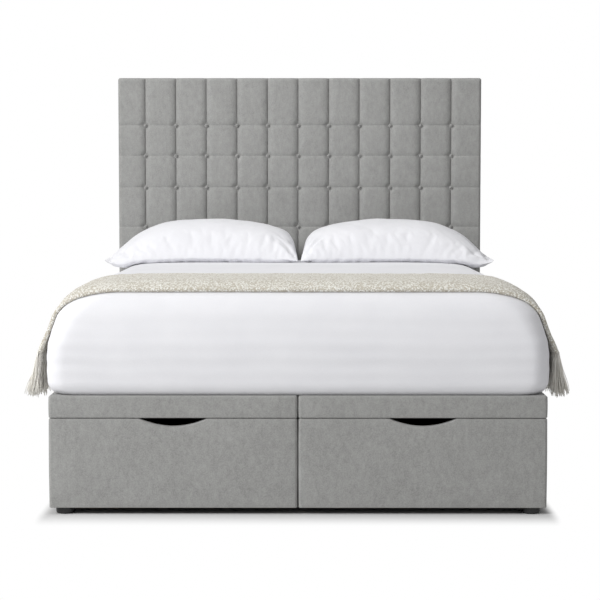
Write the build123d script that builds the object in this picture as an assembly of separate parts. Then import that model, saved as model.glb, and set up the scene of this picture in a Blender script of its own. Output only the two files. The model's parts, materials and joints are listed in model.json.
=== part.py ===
from build123d import *
import os
from math import cos, hypot, pi

# An ottoman divan bed: two storage boxes side by side, a linked lifting platform with its mattress
# and bedding, four four-bar lifts with gas struts, and a floor-standing buttoned headboard.
# Millimetres. +X is to the right seen from the foot end, +Y runs to the head end, +Z is up.
# The origin is on the floor at the centre of the bounding box.

# Bed
bed_width = 1500
base_length = 2000
half_gap = 3.5
foot_height = 20
box_height = 270
lid_gap = 3
lid_height = 65
cover_thickness = 2.5
corner_radius = 9
panel_thickness = 18
floor_thickness = 15
deck_thickness = 6
joint_clearance = 0.3
cut_overrun = 10

# Handle slots in the foot panels
handle_chord = 203
handle_depth = 24

# Feet
foot_radius = 28
foot_edge_chamfer = 4
foot_side_inset = 45
foot_end_inset = 34
inner_foot_inset = 110
inner_foot_end_inset = 300

# Corner blocks, lid buffers and the timber under the deck
corner_block_leg = 30
corner_block_height = 200
buffer_radius = 8
buffer_end_inset = 160
batten_count = 9
batten_width = 40
batten_depth = 35
batten_end_gap = 42

# Bolts that join the halves and the headboard
bolt_radius = 4
bolt_head_radius = 8
bolt_head_thickness = 5
base_bolt_height = 200
lid_bolt_height = 310
link_bolt_end_inset = 70
headboard_bolt_height = 150
headboard_bolt_inset = 190
headboard_bolt_grip = 12

# Lift pivots with the lid closed: distances from the head end, and heights above the floor
front_base_pivot = (745, 126)
rear_base_pivot = (535, 126)
front_lid_pivot = (335, 316)
rear_lid_pivot = (195, 332)
strut_base_pivot = (650, 66)
strut_arm_reach = 256
strut_arm_offset = 23

# Lift pieces
bracket_thickness = 3
bracket_margin = 24
lid_bracket_end_margin = 45
lid_bracket_edge_gap = 3
arm_thickness = 5
front_arm_half_width = 15
rear_arm_half_width = 14
strut_lug_radius = 12
strut_lug_spread = 45
arm_slot_half_width = 5
arm_slot_end_gap = 55
pivot_radius = 5
pivot_head_radius = 9
pivot_head_thickness = 2.5
strut_pin_radius = 4
strut_pin_shoulder_radius = 6
strut_pin_head_radius = 7
strut_pin_head_thickness = 2
screw_radius = 4
screw_recess = 1
strut_eye_radius = 8
strut_eye_thickness = 10
strut_tube_radius = 11
strut_tube_wall = 1.5
strut_rod_radius = 5
strut_neck_radius = 3.8
strut_eye_reach = 16
strut_shown_rod = 14
strut_gland_length = 14
strut_piston_length = 10
strut_side_gap = 0.8

# Mattress
mattress_height = 334
mattress_head_gap = 8
mattress_corner_radius = 85
mattress_crown_inset = 230

# Throw across the foot end
throw_thickness = 12
throw_width = 520
throw_foot_gap = 90
throw_hem_height = 441
throw_flare = 42
throw_fold_depth = 14
throw_fold_count = 3
throw_station_count = 13
fringe_count = 24
fringe_length = 95
fringe_belly = 16
fringe_spread = 22
fringe_root = 8
fringe_tip = 4

# Pillows
pillow_width = 736
pillow_length = 500
pillow_height = 165
pillow_edge_height = 16
pillow_centre_gap = 10
pillow_head_gap = 12
pillow_side_draw = 18

# Headboard
headboard_height = 1433
pad_depth = 58
board_thickness = 9
frame_thickness = 25
back_thickness = 3
stile_width = 70
rail_width = 90
headboard_edge_inset = 5
plinth_floor_gap = 20
pad_bottom = 330
edge_column_width = 117.5
column_count = 12
button_rows = (1241, 1115, 983, 820)
button_radius = 8
button_height = 7
button_stand = 3
seam_depth = 45
row_seam_depth = 40
row_crown_depth = 50
edge_crown_depth = 44
edge_seam_depth = 40
pad_side_depth = 38
pad_steps = 6

# Shares chosen by hand: each mattress level is an inset, as a share of the corner radius, and a height
mattress_level_shares = (
    (0.49, 0.0), (0.24, 0.026), (0.07, 0.09), (0.0, 0.24), (0.0, 0.36), (0.035, 0.48),
    (0.09, 0.585), (0.25, 0.73), (0.47, 0.835), (0.72, 0.897), (1.08, 0.95), (1.5, 0.98),
)
throw_side_shares = ((0.0, 0.0), (0.14, 0.22), (0.42, 0.52), (0.76, 0.82), (1.0, 1.0))
pillow_station_shares = (
    (-0.5, 0.36, 0.0), (-0.46, 0.66, 0.35), (-0.39, 0.83, 0.7), (-0.3, 0.95, 0.9), (-0.15, 1.0, 1.0),
    (0.0, 1.0, 1.0), (0.21, 0.93, 0.92), (0.34, 0.65, 0.65), (0.44, 0.31, 0.3), (0.5, 0.06, 0.0),
)
pillow_top_share = 0.72

# Heights
box_bottom = foot_height
box_top = box_bottom + box_height
lid_bottom = box_top + lid_gap
lid_top = lid_bottom + lid_height
deck_bottom = lid_top - deck_thickness

# Depths along Y
headboard_depth = pad_depth + board_thickness + frame_thickness + back_thickness
foot_y = -(base_length + headboard_depth) / 2
head_y = foot_y + base_length
panel_foot_y = foot_y + cover_thickness
panel_head_y = head_y - cover_thickness
foot_wall_y = panel_foot_y + panel_thickness
head_wall_y = panel_head_y - panel_thickness
pad_back_y = head_y + pad_depth
board_back_y = pad_back_y + board_thickness
frame_back_y = board_back_y + frame_thickness
headboard_back_y = frame_back_y + back_thickness

# Widths along X, on the right half
inner_x = half_gap / 2
outer_x = bed_width / 2
panel_inner_x = inner_x + cover_thickness
panel_outer_x = outer_x - cover_thickness
centre_wall_x = panel_inner_x + panel_thickness
outer_wall_x = panel_outer_x - panel_thickness
half_centre_x = (inner_x + outer_x) / 2

# Planes inside a lift, as distances from the wall that carries it
arm_face = bracket_thickness + joint_clearance
arm_back = arm_face + arm_thickness
head_face = arm_back + joint_clearance
head_back = head_face + pivot_head_thickness
strut_plane = head_back + strut_side_gap + strut_tube_radius
eye_face = strut_plane - strut_eye_thickness / 2
eye_back = strut_plane + strut_eye_thickness / 2

part_nodes = {}


def block(x_low, x_high, y_low, y_high, z_low, z_high):
    """A box between three pairs of planes."""
    centre = Pos((x_low + x_high) / 2, (y_low + y_high) / 2, (z_low + z_high) / 2)
    return centre * Box(x_high - x_low, y_high - y_low, z_high - z_low)


def rounded_block(x_low, x_high, y_low, y_high, z_low, z_high, radius):
    """A box with rounded upright edges."""
    outline = RectangleRounded(x_high - x_low, y_high - y_low, radius)
    base = Pos((x_low + x_high) / 2, (y_low + y_high) / 2, z_low)
    return base * extrude(outline, z_high - z_low)


def half_shell(z_low, z_high):
    """The cloth skin round one half, as a band with rounded upright edges."""
    outer = rounded_block(inner_x, outer_x, foot_y, head_y, z_low, z_high, corner_radius)
    return outer - half_core(z_low - cut_overrun, z_high + cut_overrun)


def half_core(z_low, z_high):
    """The room inside the cloth skin of one half."""
    radius = corner_radius - cover_thickness
    return rounded_block(panel_inner_x, panel_outer_x, panel_foot_y, panel_head_y, z_low, z_high, radius)


def add_pair(name, shape):
    """Keep a right-hand piece and its mirrored left-hand twin."""
    part_nodes["right_" + name] = shape
    part_nodes["left_" + name] = mirror(shape, about=Plane.YZ)


def bar_along_x(x_low, x_high, y, z, radius):
    """A round bar along X."""
    plane = Plane(origin=(x_low, y, z), z_dir=(1, 0, 0))
    return extrude(plane * Circle(radius), x_high - x_low)


def bar_along_y(x, y_low, y_high, z, radius):
    """A round bar along Y."""
    plane = Plane(origin=(x, y_low, z), z_dir=(0, 1, 0))
    return extrude(plane * Circle(radius), y_high - y_low)


def group(solids):
    """Several separate solids held in one node."""
    return Compound(children=[item for solid in solids for item in solid.solids()])


def handle_cutter():
    """The crescent that lets fingers under the platform at the foot end."""
    radius = ((handle_chord / 2) ** 2 + handle_depth ** 2) / (2 * handle_depth)
    centre_z = box_top - handle_depth + radius
    return bar_along_y(half_centre_x, foot_y - cut_overrun, foot_wall_y + cut_overrun, centre_z, radius)


def link_bolt_places():
    """The three places along the bed where bolts join the halves."""
    return (foot_y + link_bolt_end_inset, (foot_y + head_y) / 2, head_y - link_bolt_end_inset)


def link_bolt_holes(height):
    """Clearance holes for one row of bolts that join the halves."""
    hole_radius = bolt_radius + joint_clearance
    holes = [bar_along_x(-centre_wall_x - cut_overrun, centre_wall_x + cut_overrun, y, height, hole_radius)
             for y in link_bolt_places()]
    return group(holes)


def link_bolts(height):
    """One row of bolts through both middle walls, each with a head and a nut."""
    bolts = []
    for y in link_bolt_places():
        shank = bar_along_x(-centre_wall_x, centre_wall_x, y, height, bolt_radius)
        head = bar_along_x(centre_wall_x, centre_wall_x + bolt_head_thickness, y, height, bolt_head_radius)
        nut = bar_along_x(-centre_wall_x - bolt_head_thickness, -centre_wall_x, y, height, bolt_head_radius)
        bolts.append(shank + head + nut)
    return group(bolts)


def headboard_bolt_places():
    """The four places across the bed where the headboard is bolted on."""
    return [side * (half_centre_x + step * headboard_bolt_inset) for side in (-1, 1) for step in (-1, 1)]


def headboard_bolt_holes():
    """Clearance holes for the headboard bolts."""
    far_y = board_back_y + headboard_bolt_grip + joint_clearance
    hole_radius = bolt_radius + joint_clearance
    holes = [bar_along_y(x, head_wall_y - cut_overrun, far_y, headboard_bolt_height, hole_radius)
             for x in headboard_bolt_places()]
    return group(holes)


def headboard_bolts():
    """Bolts from inside the boxes through to the headboard frame."""
    bolts = []
    for x in headboard_bolt_places():
        far_y = board_back_y + headboard_bolt_grip
        shank = bar_along_y(x, head_wall_y, far_y, headboard_bolt_height, bolt_radius)
        head = bar_along_y(x, head_wall_y - bolt_head_thickness, head_wall_y, headboard_bolt_height,
                           bolt_head_radius)
        bolts.append(shank + head)
    return group(bolts)


def build_boxes():
    """The panels, floors, cloth covers, corner blocks and feet of the two storage boxes."""
    core = half_core(box_bottom, box_top)
    handle = handle_cutter()
    link_holes = link_bolt_holes(base_bolt_height)
    head_holes = headboard_bolt_holes()
    side = block(outer_wall_x, panel_outer_x, panel_foot_y, panel_head_y, box_bottom, box_top)
    centre = block(panel_inner_x, centre_wall_x, panel_foot_y, panel_head_y, box_bottom, box_top)
    foot = block(centre_wall_x, outer_wall_x, panel_foot_y, foot_wall_y, box_bottom, box_top)
    head = block(centre_wall_x, outer_wall_x, head_wall_y, panel_head_y, box_bottom, box_top)
    floor = block(centre_wall_x, outer_wall_x, foot_wall_y, head_wall_y, box_bottom,
                  box_bottom + floor_thickness)
    add_pair("side_panel", side & core)
    add_pair("centre_panel", (centre & core) - link_holes)
    add_pair("foot_panel", foot - handle)
    add_pair("head_panel", head - head_holes)
    add_pair("floor_board", floor)
    add_pair("base_cover", half_shell(box_bottom, box_top) - handle - link_holes - head_holes)
    part_nodes["corner_blocks"] = corner_blocks()
    part_nodes["divan_feet"] = divan_feet()
    part_nodes["lid_buffers"] = lid_buffers()
    part_nodes["base_link_bolts"] = link_bolts(base_bolt_height)


def corner_blocks():
    """Three-cornered glue blocks that stand in the eight inside corners of the boxes."""
    outline = Polygon((0, 0), (corner_block_leg, 0), (0, corner_block_leg), align=None)
    prism = extrude(outline, corner_block_height)
    floor_top = box_bottom + floor_thickness
    places = ((centre_wall_x, foot_wall_y, 0), (outer_wall_x, foot_wall_y, 90),
              (outer_wall_x, head_wall_y, 180), (centre_wall_x, head_wall_y, 270))
    right = [Pos(x, y, floor_top) * Rot(0, 0, turn) * prism for x, y, turn in places]
    left = [mirror(item, about=Plane.YZ) for item in right]
    return group(right + left)


def divan_feet():
    """Round feet under the two boxes, six to a half."""
    body = Cylinder(foot_radius, foot_height, align=(Align.CENTER, Align.CENTER, Align.MIN))
    lower_rim = body.edges().sort_by(Axis.Z)[0]
    foot = chamfer(lower_rim, foot_edge_chamfer)
    middle_y = (foot_y + head_y) / 2
    places = []
    for inset_x, inset_y in ((outer_x - foot_side_inset, foot_end_inset),
                             (inner_x + inner_foot_inset, inner_foot_end_inset)):
        places += [(inset_x, foot_y + inset_y), (inset_x, middle_y), (inset_x, head_y - inset_y)]
    return group([Pos(side * x, y, 0) * foot for side in (-1, 1) for x, y in places])


def lid_buffers():
    """Thin round pads on the rims of the boxes that the platform rests on."""
    pad = Cylinder(buffer_radius, lid_gap, align=(Align.CENTER, Align.CENTER, Align.MIN))
    rim_places = (panel_inner_x + panel_thickness / 2, panel_outer_x - panel_thickness / 2)
    ends = (foot_y + buffer_end_inset, (foot_y + head_y) / 2, head_y - buffer_end_inset)
    return group([Pos(side * x, y, box_top) * pad for side in (-1, 1) for x in rim_places for y in ends])


def build_lids():
    """The timber frames, decks and cloth bands of the two platform halves, and their link bolts."""
    link_holes = link_bolt_holes(lid_bolt_height)
    frame_core = half_core(lid_bottom, deck_bottom)
    hollow = block(centre_wall_x, outer_wall_x, foot_wall_y, head_wall_y, lid_bottom, deck_bottom)
    rails = frame_core - hollow - link_holes
    add_pair("lid_frame", group([rails] + deck_battens()))
    add_pair("lid_deck", half_core(deck_bottom, lid_top))
    add_pair("lid_cover", half_shell(lid_bottom, lid_top) - link_holes)
    part_nodes["lid_link_bolts"] = link_bolts(lid_bolt_height)


def deck_battens():
    """Cross battens glued under one deck, clear of the lifts at both ends."""
    pitch = (head_wall_y - foot_wall_y) / (batten_count + 1)
    battens = []
    for index in range(batten_count):
        middle = foot_wall_y + pitch * (index + 1)
        battens.append(block(centre_wall_x + batten_end_gap, outer_wall_x - batten_end_gap,
                             middle - batten_width / 2, middle + batten_width / 2,
                             deck_bottom - batten_depth, deck_bottom))
    return battens


def at_pivot(pivot):
    """A pivot's place in the frame of the whole bed, as Y and Z."""
    return (head_y - pivot[0], pivot[1])


def strut_arm_pivot():
    """The place where a gas strut's rod meets its front arm, with the lid closed."""
    start_y, start_z = at_pivot(front_base_pivot)
    end_y, end_z = at_pivot(front_lid_pivot)
    length = hypot(end_y - start_y, end_z - start_z)
    along_y, along_z = (end_y - start_y) / length, (end_z - start_z) / length
    return (start_y + strut_arm_reach * along_y - strut_arm_offset * along_z,
            start_z + strut_arm_reach * along_z + strut_arm_offset * along_y)


def discs(places, radius):
    """Round outlines of one radius at several places."""
    return Sketch() + [Pos(y, z) * Circle(radius) for y, z in places]


def lift_plate(outline, face, thickness):
    """A flat plate of a lift, cut from an outline in Y and Z, at a distance from its wall."""
    return extrude(Plane.YZ.offset(face) * outline, thickness)


def lift_pin(place, radius, low, high):
    """A round pin of a lift, square to its wall, between two distances from that wall."""
    return lift_plate(discs([place], radius), low, high - low)


def between(start, end, share):
    """A place on the line between two places."""
    return (start[0] + (end[0] - start[0]) * share, start[1] + (end[1] - start[1]) * share)


def pivot_stud(place):
    """A riveted stud that an arm turns on: its shank and its wide head."""
    shank = lift_pin(place, pivot_radius, bracket_thickness, head_back)
    return shank + lift_pin(place, pivot_head_radius, head_face, head_back)


def strut_boss(place, face):
    """The round boss that spaces a gas strut's eye from the plate that ends at a face."""
    return lift_pin(place, strut_pin_shoulder_radius, face, eye_face - joint_clearance)


def strut_stud(place, face):
    """A shouldered stud for a gas strut's lower eye, standing on the plate that ends at a face."""
    head_low = eye_back + joint_clearance
    shank = lift_pin(place, strut_pin_radius, face, head_low + strut_pin_head_thickness)
    head = lift_pin(place, strut_pin_head_radius, head_low, head_low + strut_pin_head_thickness)
    return strut_boss(place, face) + shank + head


def screw_recesses(places):
    """Round recesses for the flush screws of a bracket."""
    low, high = bracket_thickness - screw_recess, bracket_thickness + screw_recess
    return [lift_pin(place, screw_radius, low, high) for place in places]


def base_bracket():
    """The wall plate that holds both arms and the lower end of the gas strut."""
    front, rear, strut = (at_pivot(p) for p in (front_base_pivot, rear_base_pivot, strut_base_pivot))
    plate = lift_plate(make_hull(discs([front, rear, strut], bracket_margin).edges()), 0, bracket_thickness)
    middle = between(front, rear, 1 / 2)
    screws = [between(middle, place, share) for place, share in ((front, 2 / 3), (rear, 2 / 3), (strut, 1 / 3))]
    plate -= screw_recesses(screws)
    return plate + pivot_stud(front) + pivot_stud(rear) + strut_stud(strut, bracket_thickness)


def lid_bracket():
    """The plate on the platform's rail, with the front arm's stud and the rear arm's seat."""
    front, rear = at_pivot(front_lid_pivot), at_pivot(rear_lid_pivot)
    y_low, y_high = front[0] - lid_bracket_end_margin, rear[0] + lid_bracket_end_margin
    z_low, z_high = lid_bottom + lid_bracket_edge_gap, deck_bottom - lid_bracket_edge_gap
    outline = Pos((y_low + y_high) / 2, (z_low + z_high) / 2) * RectangleRounded(
        y_high - y_low, z_high - z_low, lid_bracket_edge_gap * 2)
    middle_z = (z_low + z_high) / 2
    screws = [(y_low + screw_radius * 3, middle_z), (y_high - screw_radius * 3, middle_z)]
    plate = lift_plate(outline, 0, bracket_thickness) - screw_recesses(screws)
    return plate + pivot_stud(front)


def bar_outline(start, end, half_width):
    """A link's outline: a straight bar with round ends."""
    return make_hull(discs([start, end], half_width).edges())


def lightening_slot(start, end):
    """The long slot pressed through a link between its two eyes."""
    length = hypot(end[0] - start[0], end[1] - start[1])
    share = arm_slot_end_gap / length
    return bar_outline(between(start, end, share), between(start, end, 1 - share), arm_slot_half_width)


def front_arm():
    """The long link that lifts the platform, with a lug and boss for the gas strut."""
    start, end, lug = at_pivot(front_base_pivot), at_pivot(front_lid_pivot), strut_arm_pivot()
    length = hypot(end[0] - start[0], end[1] - start[1])
    root_low = between(start, end, (strut_arm_reach - strut_lug_spread) / length)
    root_high = between(start, end, (strut_arm_reach + strut_lug_spread) / length)
    lug_discs = discs([lug], strut_lug_radius) + discs([root_low, root_high], strut_lug_radius)
    outline = bar_outline(start, end, front_arm_half_width) + make_hull(lug_discs.edges())
    outline -= discs([start, end], pivot_radius + joint_clearance)
    outline -= lightening_slot(start, root_low)
    return lift_plate(outline, arm_face, arm_thickness) + strut_boss(lug, arm_back)


def rear_arm():
    """The short link that steers the platform, with a rivet head at its free upper eye."""
    start, end = at_pivot(rear_base_pivot), at_pivot(rear_lid_pivot)
    outline = bar_outline(start, end, rear_arm_half_width)
    outline -= discs([start], pivot_radius + joint_clearance)
    outline -= lightening_slot(start, end)
    rivet = lift_pin(end, pivot_head_radius, arm_back, head_back)
    return lift_plate(outline, arm_face, arm_thickness) + rivet


def strut_frame():
    """The gas strut's own frame: its origin at the lower eye and its Z axis towards the upper eye."""
    low, high = at_pivot(strut_base_pivot), strut_arm_pivot()
    return Plane(origin=(strut_plane, *low), x_dir=(1, 0, 0), z_dir=(0, high[0] - low[0], high[1] - low[1]))


def strut_length():
    """The closed distance between the gas strut's two eyes."""
    low, high = at_pivot(strut_base_pivot), strut_arm_pivot()
    return hypot(high[0] - low[0], high[1] - low[1])


def cross_disc(height, radius, low, high):
    """A disc across the gas strut at a height along it, between two distances from its middle plane."""
    plane = Plane(origin=(low, 0, height), z_dir=(1, 0, 0))
    return extrude(plane * Circle(radius), high - low)


def strut_eye(height):
    """A flat eye across the gas strut, before it is drilled or riveted."""
    return cross_disc(height, strut_eye_radius, -strut_eye_thickness / 2, strut_eye_thickness / 2)


def strut_eye_hole(height):
    """The drilling through an eye."""
    return cross_disc(height, strut_pin_radius + joint_clearance, -strut_eye_thickness, strut_eye_thickness)


def strut_rivet(height):
    """The rivet head on the inner face of an eye."""
    face = strut_eye_thickness / 2
    return cross_disc(height, strut_pin_head_radius, face, face + strut_pin_head_thickness)


def upright(radius, low, high):
    """A round length along the gas strut."""
    return Pos(0, 0, low) * extrude(Circle(radius), high - low)


def gas_cylinder():
    """The pressure tube with its lower eye, its bore and the gland that guides the rod."""
    tube_end = strut_length() - strut_eye_radius - strut_shown_rod
    bore_radius = strut_tube_radius - strut_tube_wall
    body = upright(strut_tube_radius, strut_eye_reach, tube_end)
    neck = upright(strut_neck_radius, 0, strut_eye_reach)
    bore = upright(bore_radius, strut_eye_reach + strut_tube_wall, tube_end - strut_gland_length)
    gland = upright(strut_rod_radius + joint_clearance, strut_eye_reach + strut_tube_wall, tube_end + cut_overrun)
    shape = body + neck + strut_eye(0) - strut_eye_hole(0) - bore - gland
    return strut_frame() * shape


def gas_rod():
    """The rod with its riveted upper eye and the piston at its lower end."""
    length = strut_length()
    piston_low = strut_eye_reach + strut_tube_wall * 2
    piston_radius = strut_tube_radius - strut_tube_wall - joint_clearance
    rod = upright(strut_rod_radius, piston_low, length - strut_eye_reach)
    neck = upright(strut_neck_radius, length - strut_eye_reach, length)
    piston = upright(piston_radius, piston_low, piston_low + strut_piston_length)
    shape = rod + piston + neck + strut_eye(length) + strut_rivet(length)
    return strut_frame() * shape


def build_lifts():
    """Four lifts, one on the outer wall and one on the middle wall of each half."""
    makers = (("base_bracket", base_bracket), ("lid_bracket", lid_bracket), ("front_arm", front_arm),
              ("rear_arm", rear_arm), ("gas_cylinder", gas_cylinder), ("gas_rod", gas_rod))
    for name, maker in makers:
        shape = maker()
        add_pair("inner_" + name, Pos(centre_wall_x, 0, 0) * shape)
        add_pair("outer_" + name, Pos(outer_wall_x, 0, 0) * mirror(shape, about=Plane.YZ))


def mattress_levels():
    """The mattress's insets and heights, from its underside to the edge of its flat top."""
    levels = [(inset * mattress_corner_radius, lid_top + rise * mattress_height)
              for inset, rise in mattress_level_shares]
    return levels + [(mattress_crown_inset, lid_top + mattress_height)]


def mattress():
    """The mattress in its fitted sheet: drawn in below, full at the waist and gently crowned."""
    head_end = head_y - mattress_head_gap
    middle_y = (foot_y + head_end) / 2
    sections = []
    for inset, height in mattress_levels():
        width = bed_width - 2 * inset
        length = head_end - foot_y - 2 * inset
        sections.append(Pos(0, middle_y, height) * RectangleRounded(width, length, mattress_corner_radius))
    return loft(sections, ruled=True)


def mattress_slope():
    """The upper half of the mattress's insets and heights."""
    return [level for level in mattress_levels() if level[1] > lid_top + mattress_height / 2]


def mattress_rim_height(inset):
    """The height of the mattress's upper surface at a distance in from the foot end."""
    slope = mattress_slope()
    for (near, low), (far, high) in zip(slope, slope[1:]):
        if inset <= far:
            return low + (high - low) * (inset - near) / (far - near)
    return lid_top + mattress_height


def throw_side(fold, foot_distance):
    """One side of the throw's inner line, from the hem up to the middle of the bed, as X and Z."""
    crown = mattress_rim_height(foot_distance)
    upper = [(bed_width / 2 - inset + joint_clearance, min(height, crown) + joint_clearance * 2)
             for inset, height in mattress_slope()]
    shoulder_x, shoulder_z = upper[0]
    side = []
    for out_share, drop_share in throw_side_shares:
        x = shoulder_x + (throw_flare + fold) * (1 - out_share)
        side.append((x, throw_hem_height + (shoulder_z - throw_hem_height) * drop_share))
    return side + upper[1:]


def throw_section(foot_distance, right_fold, left_fold):
    """One closed slice of the throw, square to the length of the bed."""
    right, left = throw_side(right_fold, foot_distance), throw_side(left_fold, foot_distance)
    inner = right + [(-x, z) for x, z in reversed(left)]
    outer = []
    for index, (x, z) in enumerate(inner):
        before = inner[max(index - 1, 0)]
        after = inner[min(index + 1, len(inner) - 1)]
        run_x, run_z = after[0] - before[0], after[1] - before[1]
        run = hypot(run_x, run_z)
        outer.append((x + throw_thickness * run_z / run, z - throw_thickness * run_x / run))
    points = [(x, foot_y + foot_distance, z) for x, z in inner + outer[::-1]]
    return Face(Wire.make_polygon(points, close=True))


def throw_fold(share, phase):
    """How far the hanging cloth stands out at a share of the throw's width."""
    return throw_fold_depth * (1 - cos(2 * pi * throw_fold_count * share + phase)) / 2


def throw_stations():
    """Distances from the foot end of the throw's slices: evenly spaced, and where the mattress bends."""
    step = throw_width / (throw_station_count - 1)
    even = [throw_foot_gap + step * index for index in range(throw_station_count)]
    return sorted(even + [inset for inset, height in mattress_slope() if inset > throw_foot_gap])


def throw():
    """The throw laid across the foot end, hanging in soft folds at both sides."""
    sections = []
    for distance in throw_stations():
        share = (distance - throw_foot_gap) / throw_width
        sections.append(throw_section(distance, throw_fold(share, 0), throw_fold(share, pi / 2)))
    return loft(sections, ruled=True)


def fringe(phase):
    """A row of hanging strands under the right-hand hem of the throw."""
    strands = []
    for index in range(fringe_count):
        share = (index + 1 / 2) / fringe_count
        distance = throw_foot_gap + throw_width * share
        hem_x = throw_side(throw_fold(share, phase), distance)[0][0] + throw_thickness / 2
        y = foot_y + distance
        root = Pos(hem_x, y, throw_hem_height) * Rectangle(fringe_root, fringe_root)
        middle_z = throw_hem_height - fringe_length / 2
        belly = Pos(hem_x + fringe_belly, y, middle_z) * Rectangle(fringe_root, fringe_root)
        tip_z = throw_hem_height - fringe_length
        tip = Pos(hem_x + fringe_spread, y, tip_z) * Rectangle(fringe_tip, fringe_tip)
        strands.append(loft([root, belly, tip], ruled=True))
    return group(strands)


def pillow_section(width_share, height_share, draw_share):
    """One slice of a pillow across its width, as a lens of two arcs."""
    x = width_share * pillow_width
    reach = pillow_length / 2 - pillow_side_draw * draw_share
    height = pillow_edge_height + (pillow_height - pillow_edge_height) * height_share
    top, low = height * pillow_top_share, -height * (1 - pillow_top_share)
    sag = (pillow_height - height) * (1 - pillow_top_share)
    plane = Plane(origin=(x, 0, -sag), x_dir=(0, 1, 0), z_dir=(1, 0, 0))
    upper = ThreePointArc((-reach, 0), (0, top), (reach, 0))
    lower = ThreePointArc((reach, 0), (0, low), (-reach, 0))
    return plane * make_face([upper, lower])


def pillow():
    """The right-hand pillow: blunt at the middle of the bed, drawn out to soft corners at the side."""
    body = loft([pillow_section(*shares) for shares in pillow_station_shares])
    x = pillow_centre_gap / 2 + pillow_width / 2
    y = head_y - pillow_head_gap - pillow_length / 2
    z = lid_top + mattress_height + pillow_height * (1 - pillow_top_share) + joint_clearance
    return Pos(x, y, z) * body


def build_bedding():
    """The mattress, pillows, throw and the fringes along its hems."""
    part_nodes["mattress"] = mattress()
    add_pair("pillow", pillow())
    part_nodes["throw"] = throw()
    part_nodes["right_fringe"] = fringe(0)
    part_nodes["left_fringe"] = mirror(fringe(pi / 2), about=Plane.YZ)


def seam_places():
    """The upright seams of the headboard, from left to right."""
    inner_width = (bed_width - 2 * edge_column_width) / (column_count - 2)
    return [-bed_width / 2 + edge_column_width + inner_width * index for index in range(column_count - 1)]


def pad_section(height, crown, seam, side):
    """One level slice of the buttoned pad: a flat back and one bulge for each column."""
    half = bed_width / 2
    front = [(-half, pad_back_y - side)]
    front += [(x, pad_back_y - seam) for x in seam_places()]
    front += [(half, pad_back_y - side)]
    edges = [Line((half, pad_back_y, height), (-half, pad_back_y, height)),
             Line((-half, pad_back_y, height), (*front[0], height))]
    for start, end in zip(front, front[1:]):
        middle = ((start[0] + end[0]) / 2, pad_back_y - crown)
        edges.append(ThreePointArc((*start, height), (*middle, height), (*end, height)))
    edges.append(Line((*front[-1], height), (half, pad_back_y, height)))
    return make_face(edges)


def pad_levels():
    """Heights of the pad's slices with their crown, seam and side depths."""
    full = (pad_depth, seam_depth)
    edge = (edge_crown_depth, edge_seam_depth)
    row = (row_crown_depth, row_seam_depth)
    rows = sorted(button_rows)
    ends = [(pad_bottom, edge)] + [(height, row) for height in rows] + [(headboard_height, edge)]
    levels = [(pad_bottom, *edge, pad_side_depth)]
    for (low, low_depths), (high, high_depths) in zip(ends, ends[1:]):
        for step in range(1, pad_steps + 1):
            share = (1 - cos(pi * step / pad_steps)) / 2
            swell = 1 - (2 * share - 1) ** 4
            near = low_depths if share < 1 / 2 else high_depths
            crown, seam = (start + (end - start) * swell for start, end in zip(near, full))
            levels.append((low + (high - low) * share, crown, seam, pad_side_depth))
    return levels


def headboard_pad():
    """The foam pad with upright channels, drawn in at every row of buttons."""
    return loft([pad_section(*level) for level in pad_levels()], ruled=True)


def headboard_buttons():
    """Covered buttons where the seams cross the drawn-in rows."""
    seat_y = pad_back_y - row_seam_depth - button_stand
    profile = make_face([
        Line((0, 0), (button_radius, 0)),
        Line((button_radius, 0), (button_radius, button_height / 2)),
        Line((button_radius, button_height / 2), (button_radius / 2, button_height)),
        Line((button_radius / 2, button_height), (0, button_height)),
        Line((0, button_height), (0, 0)),
    ])
    button = revolve(Plane.XZ * profile, Axis.Z)
    facing = Plane(origin=(0, 0, 0), z_dir=(0, -1, 0))
    return group([Pos(x, seat_y, z) * (facing * button) for x in seam_places() for z in button_rows])


def headboard_frame():
    """The upright stiles, which stand on the floor, and the three rails between them."""
    half = bed_width / 2 - headboard_edge_inset
    top = headboard_height - headboard_edge_inset
    inner = half - stile_width
    stiles = [block(low, low + stile_width, board_back_y, frame_back_y, 0, top) for low in (-half, inner)]
    middles = (headboard_bolt_height, (headboard_bolt_height + top) / 2, top - rail_width / 2)
    rails = [block(-inner, inner, board_back_y, frame_back_y, z - rail_width / 2, z + rail_width / 2)
             for z in middles]
    return group(stiles + [rails[0] - headboard_bolt_holes()] + rails[1:])


def build_headboard():
    """The pad and its buttons, and the board, plinth, frame, back and bolts behind them."""
    half = bed_width / 2 - headboard_edge_inset
    top = headboard_height - headboard_edge_inset
    holes = headboard_bolt_holes()
    board = block(-half, half, pad_back_y, board_back_y, plinth_floor_gap, top)
    plinth = block(-half, half, head_y, pad_back_y, plinth_floor_gap, pad_bottom)
    part_nodes["headboard_pad"] = headboard_pad()
    part_nodes["headboard_buttons"] = headboard_buttons()
    part_nodes["headboard_board"] = board - holes
    part_nodes["headboard_plinth"] = plinth - holes
    part_nodes["headboard_frame"] = headboard_frame()
    part_nodes["headboard_back"] = block(-half, half, frame_back_y, headboard_back_y, plinth_floor_gap, top)
    part_nodes["headboard_bolts"] = headboard_bolts()


def write_nodes():
    """Write every piece to its own file."""
    os.makedirs("parts", exist_ok=True)
    for name, shape in part_nodes.items():
        export_step(shape, "parts/" + name + ".step")


build_boxes()
build_lids()
build_lifts()
build_bedding()
build_headboard()
write_nodes()
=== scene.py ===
import json
import math

import bpy
import numpy as np
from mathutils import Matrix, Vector, noise


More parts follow.
